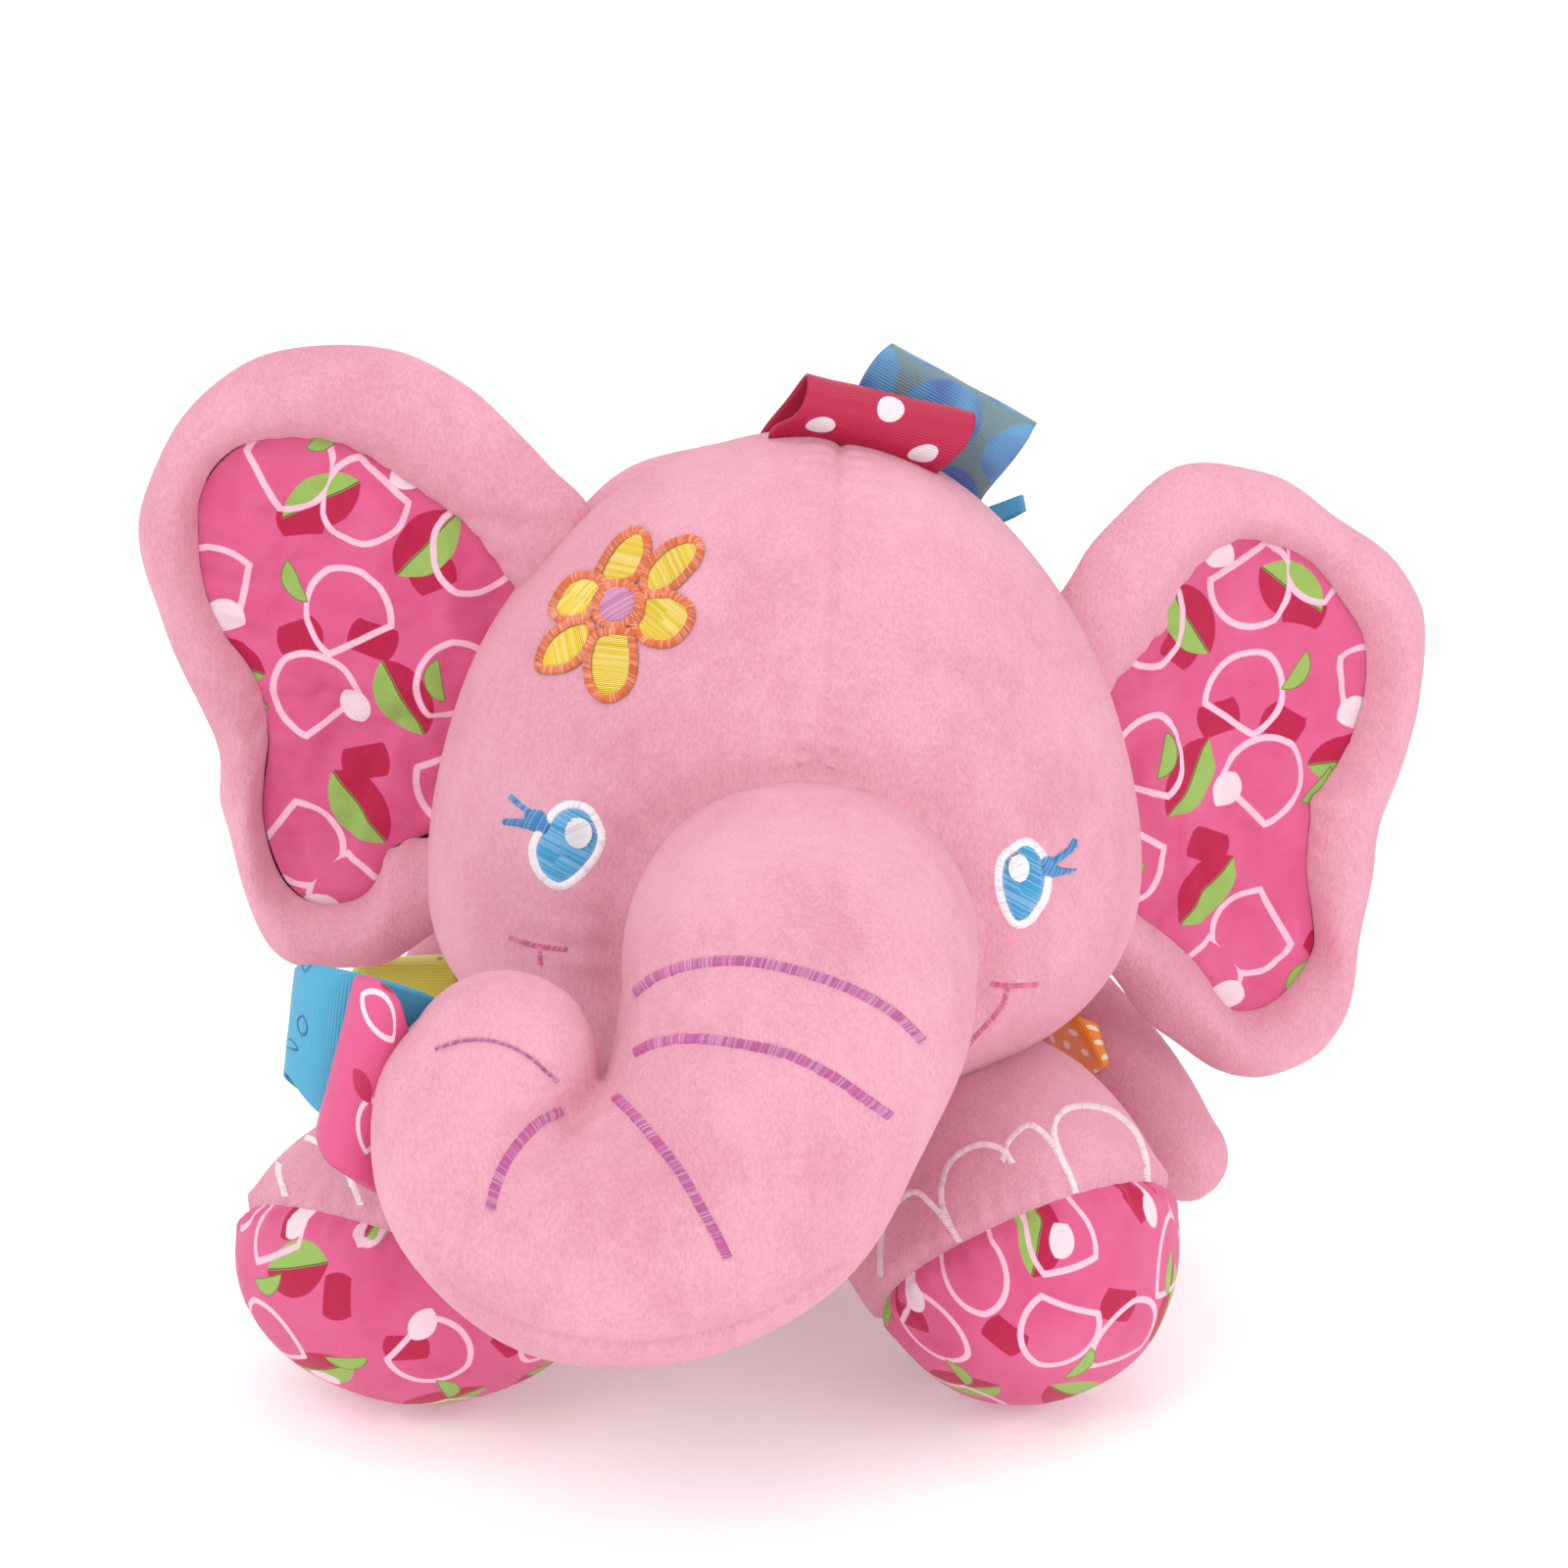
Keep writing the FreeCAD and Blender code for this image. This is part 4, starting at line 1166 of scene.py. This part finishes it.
EAR_RIGHT = Ear(root=(-61.8, 8, 142), axis=(0.343, 0, 0.939), side=-1, swept_degrees=5)
EAR_LEFT = Ear(root=(70.5, 12, 123), axis=(-0.156, 0, 0.988), side=1, swept_degrees=25)
EAR_RIGHT_CREASES = (
    ((-68, 53.5), (-60, 52.2), (-51, 52)),
    ((-89, -20), (-85, -18.2), (-80, -17)),
    ((-131, 6), (-126, 4), (-119, 4)),
)
EAR_LEFT_CREASES = (((86, 30), (80.5, 21), (74, 12)), ((133, -8), (127, -10), (121, -10)))
build_ear("ear_right", EAR_RIGHT, EAR_RIGHT_OUTLINE, EAR_RIGHT_PRINT, (-97, 28), EAR_RIGHT_CREASES, 3)
build_ear("ear_left", EAR_LEFT, EAR_LEFT_OUTLINE, EAR_LEFT_PRINT, (103, 0), EAR_LEFT_CREASES, 4)

# -------------------- body and arms
BODY_MIDDLE = (BODY_X, 60, 43)
BODY_RADII = (52.5, 50.5, 44)
BODY_BOXINESS = 2.3
BELLY_SEAM_HEIGHT = 30
body = make_object("body_plush", *ball(BODY_MIDDLE, BODY_RADII, 60, 96, BODY_BOXINESS), PLUSH)
lumps(body, 1.6, 30, 5)
belly_seam = []
for turn in np.linspace(0, 2 * math.pi, 90):
    x = BODY_MIDDLE[0] + (BODY_RADII[0] + 0.5) * math.cos(turn)
    y = BODY_MIDDLE[1] + (BODY_RADII[1] + 0.5) * math.sin(turn)
    belly_seam.append((x, y, BELLY_SEAM_HEIGHT))
press_seam(body, belly_seam, 1.3, 2.2, pucker=0.4, pucker_step=5)
sew(body, land_behind(surface_of(body), BODY_X, 6, 78), reach=5.0, rounds=2)
dress(body, "body", "pink_plush", "body_belly_panel", "body_back_panel", "body_stuffing")

ARM_RADII = (11.5, 11.5, 11.2, 11)
ARM_PATHS = {
    "arm_left": ((44, 54, 69), (62, 44, 63), (80, 29, 47), (93, 15, 31)),
    "arm_right": ((-72, 54, 69), (-80, 46, 62), (-90, 37, 47), (-96, 30, 31)),
}
for name, path in ARM_PATHS.items():
    arm = fuse(name + "_plush", [sweep(path, ARM_RADII, 40, 36)], 1.8, 4, PLUSH)
    lumps(arm, 0.8, 16, 6)
    dress(arm, name, "pink_plush", name + "_shell", name + "_stuffing")

# -------------------- legs
LEG_RADII = (25, 31, 36.5)
KNEE_SHARE = 0.42
KNEE_LIFT = 3
ANKLE_SHARE = 0.76
ANKLE_LIFT = 4.5
SOLE_SEAM_DEPTH = 1.7
SOLE_SEAM_WIDTH = 1.9
SOLE_PUCKER = 0.6
SOLE_PUCKERS = 40
SOLE_PRINT_SHIFT = 31.0


def build_leg(name, hip, foot, radii, pole, seam_rise, seed):
    """A short leg that widens to a round foot with a printed sole.

    pole points out of the sole, and the seam crosses the foot seam_rise along it.
    """
    hip, foot, pole = Vector(hip), Vector(foot), Vector(pole).normalized()
    knee = hip.lerp(foot, KNEE_SHARE) + Vector((0, 0, KNEE_LIFT))
    ankle = hip.lerp(foot, ANKLE_SHARE) + Vector((0, 0, ANKLE_LIFT))
    tube = sweep([hip, knee, ankle, foot], (*LEG_RADII, radii[2]), 50, 72)
    leg = fuse(name + "_sleeve_plush", [tube, ball(foot, radii, 48, 72)], 1.5, 6)
    lumps(leg, 0.9, 24, seed)
    side = pole.orthogonal().normalized()
    other = pole.cross(side)
    seam_middle = foot + pole * seam_rise
    points = read_points(leg) - np.array(seam_middle)
    rise = points @ np.array(pole)
    turn = np.arctan2(points @ np.array(other), points @ np.array(side))
    beside = np.exp(-(((np.abs(rise) - 3) / 2.6) ** 2))
    groove = SOLE_SEAM_DEPTH * np.exp(-((rise / SOLE_SEAM_WIDTH) ** 2))
    groove = groove + SOLE_PUCKER * np.cos(turn * SOLE_PUCKERS) * beside
    write_points(leg, points + np.array(seam_middle) - read_normals(leg) * groove[:, None])
    sole = leg.copy()
    sole.data = leg.data.copy()
    sole.name = name + "_sole_print"
    bpy.context.scene.collection.objects.link(sole)
    for obj, keep_sole in ((leg, False), (sole, True)):
        shape = bmesh.new()
        shape.from_mesh(obj.data)
        everything = shape.verts[:] + shape.edges[:] + shape.faces[:]
        bmesh.ops.bisect_plane(
            shape, geom=everything, plane_co=seam_middle * MM, plane_no=pole,
            clear_outer=not keep_sole, clear_inner=keep_sole,
        )
        shape.to_mesh(obj.data)
        shape.free()
        obj.data.materials.clear()
        obj.data.materials.append(PRINT if keep_sole else PLUSH)
        obj.data.shade_smooth()
    local = read_points(sole) - np.array(foot)
    reach = np.linalg.norm(local, axis=1)
    away = np.arccos(np.clip(local @ np.array(pole) / reach, -1, 1))
    turn = np.arctan2(local @ np.array(other), local @ np.array(side))
    flat = np.column_stack([np.cos(turn), np.sin(turn)]) * (away * reach)[:, None]
    give_cloth(sole, flat + seed * SOLE_PRINT_SHIFT)
    dress(leg, name, "pink_plush", name + "_sleeve", name + "_stuffing")
    dress(sole, name, "printed_fabric", name + "_sole_panel")
    return leg


leg_left = build_leg(
    "leg_left", (21, 26, 37), (53.4, -48, 36.2), (35.7, 35.7, 35.7), (0.38, -0.581, -0.72), 1.5, 7
)
leg_right = build_leg(
    "leg_right", (-49, 26, 37), (-80.1, -48, 34.8), (43, 35, 34.2), (-0.339, -0.587, -0.736), 6, 8
)

TOENAILS_LEFT = (
    ((22.4, -117.1), (22.6, -109), (24.1, -103.2), (29.7, -98.1), (34.5, -101.5), (38.5, -106.5),
     (41.6, -111.6), (44, -116)),
    ((38.6, -106.5), (36.2, -100), (37.2, -93), (40.6, -89.2), (45.5, -87.4), (50, -88.6), (52.2, -91.5)),
    ((50, -91), (51.5, -86.5), (55.8, -83), (59.8, -85.4), (63, -90.1), (65.4, -94.6), (67, -100),
     (67.6, -105)),
    ((66.9, -104), (66.4, -97.5), (63.2, -90), (61.6, -84), (63.6, -80), (68.2, -78.6), (74.8, -79.9),
     (79.9, -84.3), (82.4, -90.5), (82.8, -96), (82.6, -102)),
)
TOENAILS_RIGHT = (
    ((-112, -99), (-113.5, -92), (-109, -86), (-103, -88), (-98, -94), (-95, -101)),
    ((-97, -97), (-97, -90), (-92, -84), (-85, -84), (-80, -90), (-77, -98)),
    ((-78, -96), (-76, -88), (-70, -84), (-62, -88), (-57, -96), (-55, -105)),
)
for name, leg, nails in (("leg_left", leg_left, TOENAILS_LEFT), ("leg_right", leg_right, TOENAILS_RIGHT)):
    stitches = Stitching(surface_of(leg), 0.45, 0.4)
    for nail in nails:
        stitches.line(nail, TOENAIL_WIDTH)
    node = name + "_toenail_embroidery"
    stitches.finish(name + "_toenail_stitches", "pale", name, "white_thread", node)


# -------------------- ribbons
WIDE_RIBBON = 38
RIBBON_THICKNESS = 0.5


def ribbon(name, node, slot, satin_name, width, rungs, columns=28, rows=64, wave=0.25):
    """A folded length of ribbon through rungs, each a pair of view-plane points with depths.

    The node it stands for has a body of the same name.
    """
    ends = np.array([[*seen(*a), *seen(*b)] for a, b in rungs])
    lengthwise = smooth_curve(ends, rows)
    walked = np.linalg.norm(np.diff((lengthwise[:, :3] + lengthwise[:, 3:]) / 2, axis=0), axis=1)
    walked = np.concatenate([[0], np.cumsum(walked)])
    points = []
    cloth_places = []
    for row, along in zip(lengthwise, walked):
        a, b = row[:3], row[3:]
        for k in range(columns):
            t = k / (columns - 1)
            points.append(a + (b - a) * t)
            cloth_places.append(((t - 0.5) * width, along))
    faces = []
    for r in range(rows - 1):
        for k in range(columns - 1):
            a = r * columns + k
            faces.append((a, a + 1, a + columns + 1, a + columns))
    obj = make_object(name, points, faces, SATINS[satin_name])
    give_cloth(obj, cloth_places)
    lumps(obj, wave, 9, len(name))
    thick = obj.modifiers.new("thickness", "SOLIDIFY")
    thick.thickness = RIBBON_THICKNESS * MM
    thick.offset = 0
    apply_modifiers(obj)
    dress(obj, node, slot, node)


ribbon(
    "ribbon_magenta", "head_ribbon_magenta", "magenta_satin", "magenta_satin", WIDE_RIBBON,
    (((-3, 67, 5), (32, 56, 5)), ((-2.4, 73.8, 0), (34.6, 63.2, 1)),
     ((2.6, 76.8, -4), (37.8, 66.4, -3)), ((4.7, 79.5, -5), (41.6, 70.2, -4)),
     ((5.9, 83, -4), (43.6, 74.2, -3)), ((6.1, 86, -1), (43.9, 77.3, 0)),
     ((5.2, 86, 3), (43, 77, 4)), ((1, 80.5, 8), (38.6, 71, 8)),
     ((-3.9, 74.4, 11), (33, 62, 11)), ((-7, 69, 11), (29, 54, 11))),
)
ribbon(
    "ribbon_blue", "head_ribbon_blue", "blue_satin", "blue_oval_satin", WIDE_RIBBON,
    (((8, 62, 15), (38, 48, 15)), ((13, 73, 14), (45, 58.2, 14)),
     ((17.9, 84.8, 12), (52, 66.6, 12)), ((21.6, 90.6, 12), (55.6, 71.6, 13)),
     ((24.2, 92.9, 14), (57.4, 75, 15)), ((24.9, 92.6, 19), (57.2, 74.6, 20)),
     ((19.5, 84, 25), (50.6, 66, 26)), ((14, 72, 26), (43, 55, 26)), ((11, 64, 24), (38, 48, 24))),
)
ribbon(
    "ribbon_narrow_loop", "hanging_loop", "blue_satin", "narrow_blue_satin", 4,
    (((40, 54, 28), (41.6, 50.2, 28)), ((46.4, 56.4, 29), (48, 52.6, 29)),
     ((51, 58.1, 30), (52.3, 54.4, 30)), ((53.9, 59.2, 31.5), (54.8, 55.5, 31.5)),
     ((54.2, 59.1, 34.5), (55, 55.4, 34.5)), ((50, 57.2, 37), (51.4, 53.6, 37)),
     ((43, 54.4, 36), (44.6, 50.8, 36))),
    columns=6, rows=48, wave=0.1,
)
ribbon(
    "ribbon_trunk_pink", "trunk_ribbon_pink", "pink_satin", "pink_petal_satin", WIDE_RIBBON,
    (((-80, -68, -104), (-88, -100, -104)), ((-84, -62, -109), (-93.4, -97.4, -109)),
     ((-86.4, -54.5, -112), (-98, -94.6, -112)), ((-91.6, -50, -112), (-103, -90.8, -112)),
     ((-95.8, -49.4, -108), (-105, -85, -108)), ((-95.6, -52, -103), (-103.6, -84, -103)),
     ((-90.6, -57, -100), (-98, -89, -100)), ((-82, -64, -99), (-90, -97, -99))),
)
ribbon(
    "ribbon_trunk_blue", "trunk_ribbon_blue", "blue_satin", "blue_sprig_satin", WIDE_RIBBON,
    (((-74, -58, -93), (-80, -88, -93)), ((-79.5, -53.6, -97), (-86, -86, -97)),
     ((-92, -49.6, -100), (-97, -83, -100)), ((-102.5, -47.3, -99), (-105, -79.6, -99)),
     ((-108.4, -46.9, -94), (-111.4, -71.5, -94)), ((-108.5, -49, -89), (-111, -73.5, -89)),
     ((-97, -53, -86), (-101, -80, -86)), ((-84, -57, -86), (-88, -86, -86)),
     ((-74, -60, -88), (-79, -88, -88))),
)
ribbon(
    "ribbon_arm_green", "arm_ribbon_green", "green_satin", "green_satin", 24,
    (((-99, -55, 36), (-72, -52, 36)), ((-97, -49, 31), (-72, -47, 31)),
     ((-95.5, -45.6, 25), (-72.5, -44.6, 25)), ((-95, -47, 19), (-73, -46.8, 19)),
     ((-95.4, -53, 19), (-73, -53.4, 19)), ((-97, -59, 24), (-73, -60, 24))),
    columns=18, rows=48,
)
ribbon(
    "ribbon_arm_orange", "arm_ribbon_orange", "orange_satin", "orange_satin", 24,
    (((58, -58, 30), (66, -76, 30)), ((60.5, -57, 22), (70, -72, 22)),
     ((66.5, -58.4, 16), (72.6, -70.4, 16)), ((70.8, -60, 17), (74, -69, 17)),
     ((71.4, -62, 22), (73, -71, 22)), ((66, -63, 27), (68, -77, 27))),
    columns=18, rows=48,
)

# -------------------- floor, light and camera
FLOOR_HALF_WIDTH = 30000
LIGHT_AIM = (0, 0, 0.10)
SENSOR_WIDTH = 36
scene = bpy.context.scene
floor_shader = Shader("pale_floor")
floor_material = floor_shader.finish(
    Base_Color=(0.93, 0.93, 0.93, 1), Roughness=0.8, Specular_IOR_Level=0.1,
    Emission_Color=(1, 1, 1, 1), Emission_Strength=0.22,
)
far = FLOOR_HALF_WIDTH
corners = [(-far, -far, 0), (far, -far, 0), (far, far, 0), (-far, far, 0)]
floor = make_object("floor", corners, [(0, 1, 2, 3)], floor_material)


def area_light(name, place, size, watts):
    light = bpy.data.lights.new(name, "AREA")
    light.shape = "DISK"
    light.size = size
    light.energy = watts
    obj = bpy.data.objects.new(name, light)
    scene.collection.objects.link(obj)
    obj.location = Vector(place) + FRAME_SHIFT
    obj.rotation_euler = (Vector(LIGHT_AIM) - Vector(place)).to_track_quat("-Z", "Y").to_euler()


area_light("key", (-0.55, -0.9, 1.15), 0.9, 5.2)
area_light("fill", (0.95, -0.75, 0.55), 1.1, 3.0)
area_light("top", (0.05, 0.25, 1.35), 1.0, 2.8)

world = bpy.data.worlds.new("studio")
world.use_nodes = True
background = world.node_tree.nodes["Background"].inputs
background["Color"].default_value = (1, 1, 1, 1)
background["Strength"].default_value = 0.90
scene.world = world
scene.view_settings.view_transform = "Standard"

camera = bpy.data.cameras.new("camera")
camera.sensor_width = SENSOR_WIDTH
camera.lens = SENSOR_WIDTH * VIEW_DISTANCE / PICTURE_WIDTH
camera.clip_start = 0.05
camera_object = bpy.data.objects.new("camera", camera)
scene.collection.objects.link(camera_object)
camera_object.location = CAMERA_PLACE * MM + FRAME_SHIFT
camera_object.rotation_euler = (math.radians(90) - VIEW_RISE, 0, 0)
scene.camera = camera_object
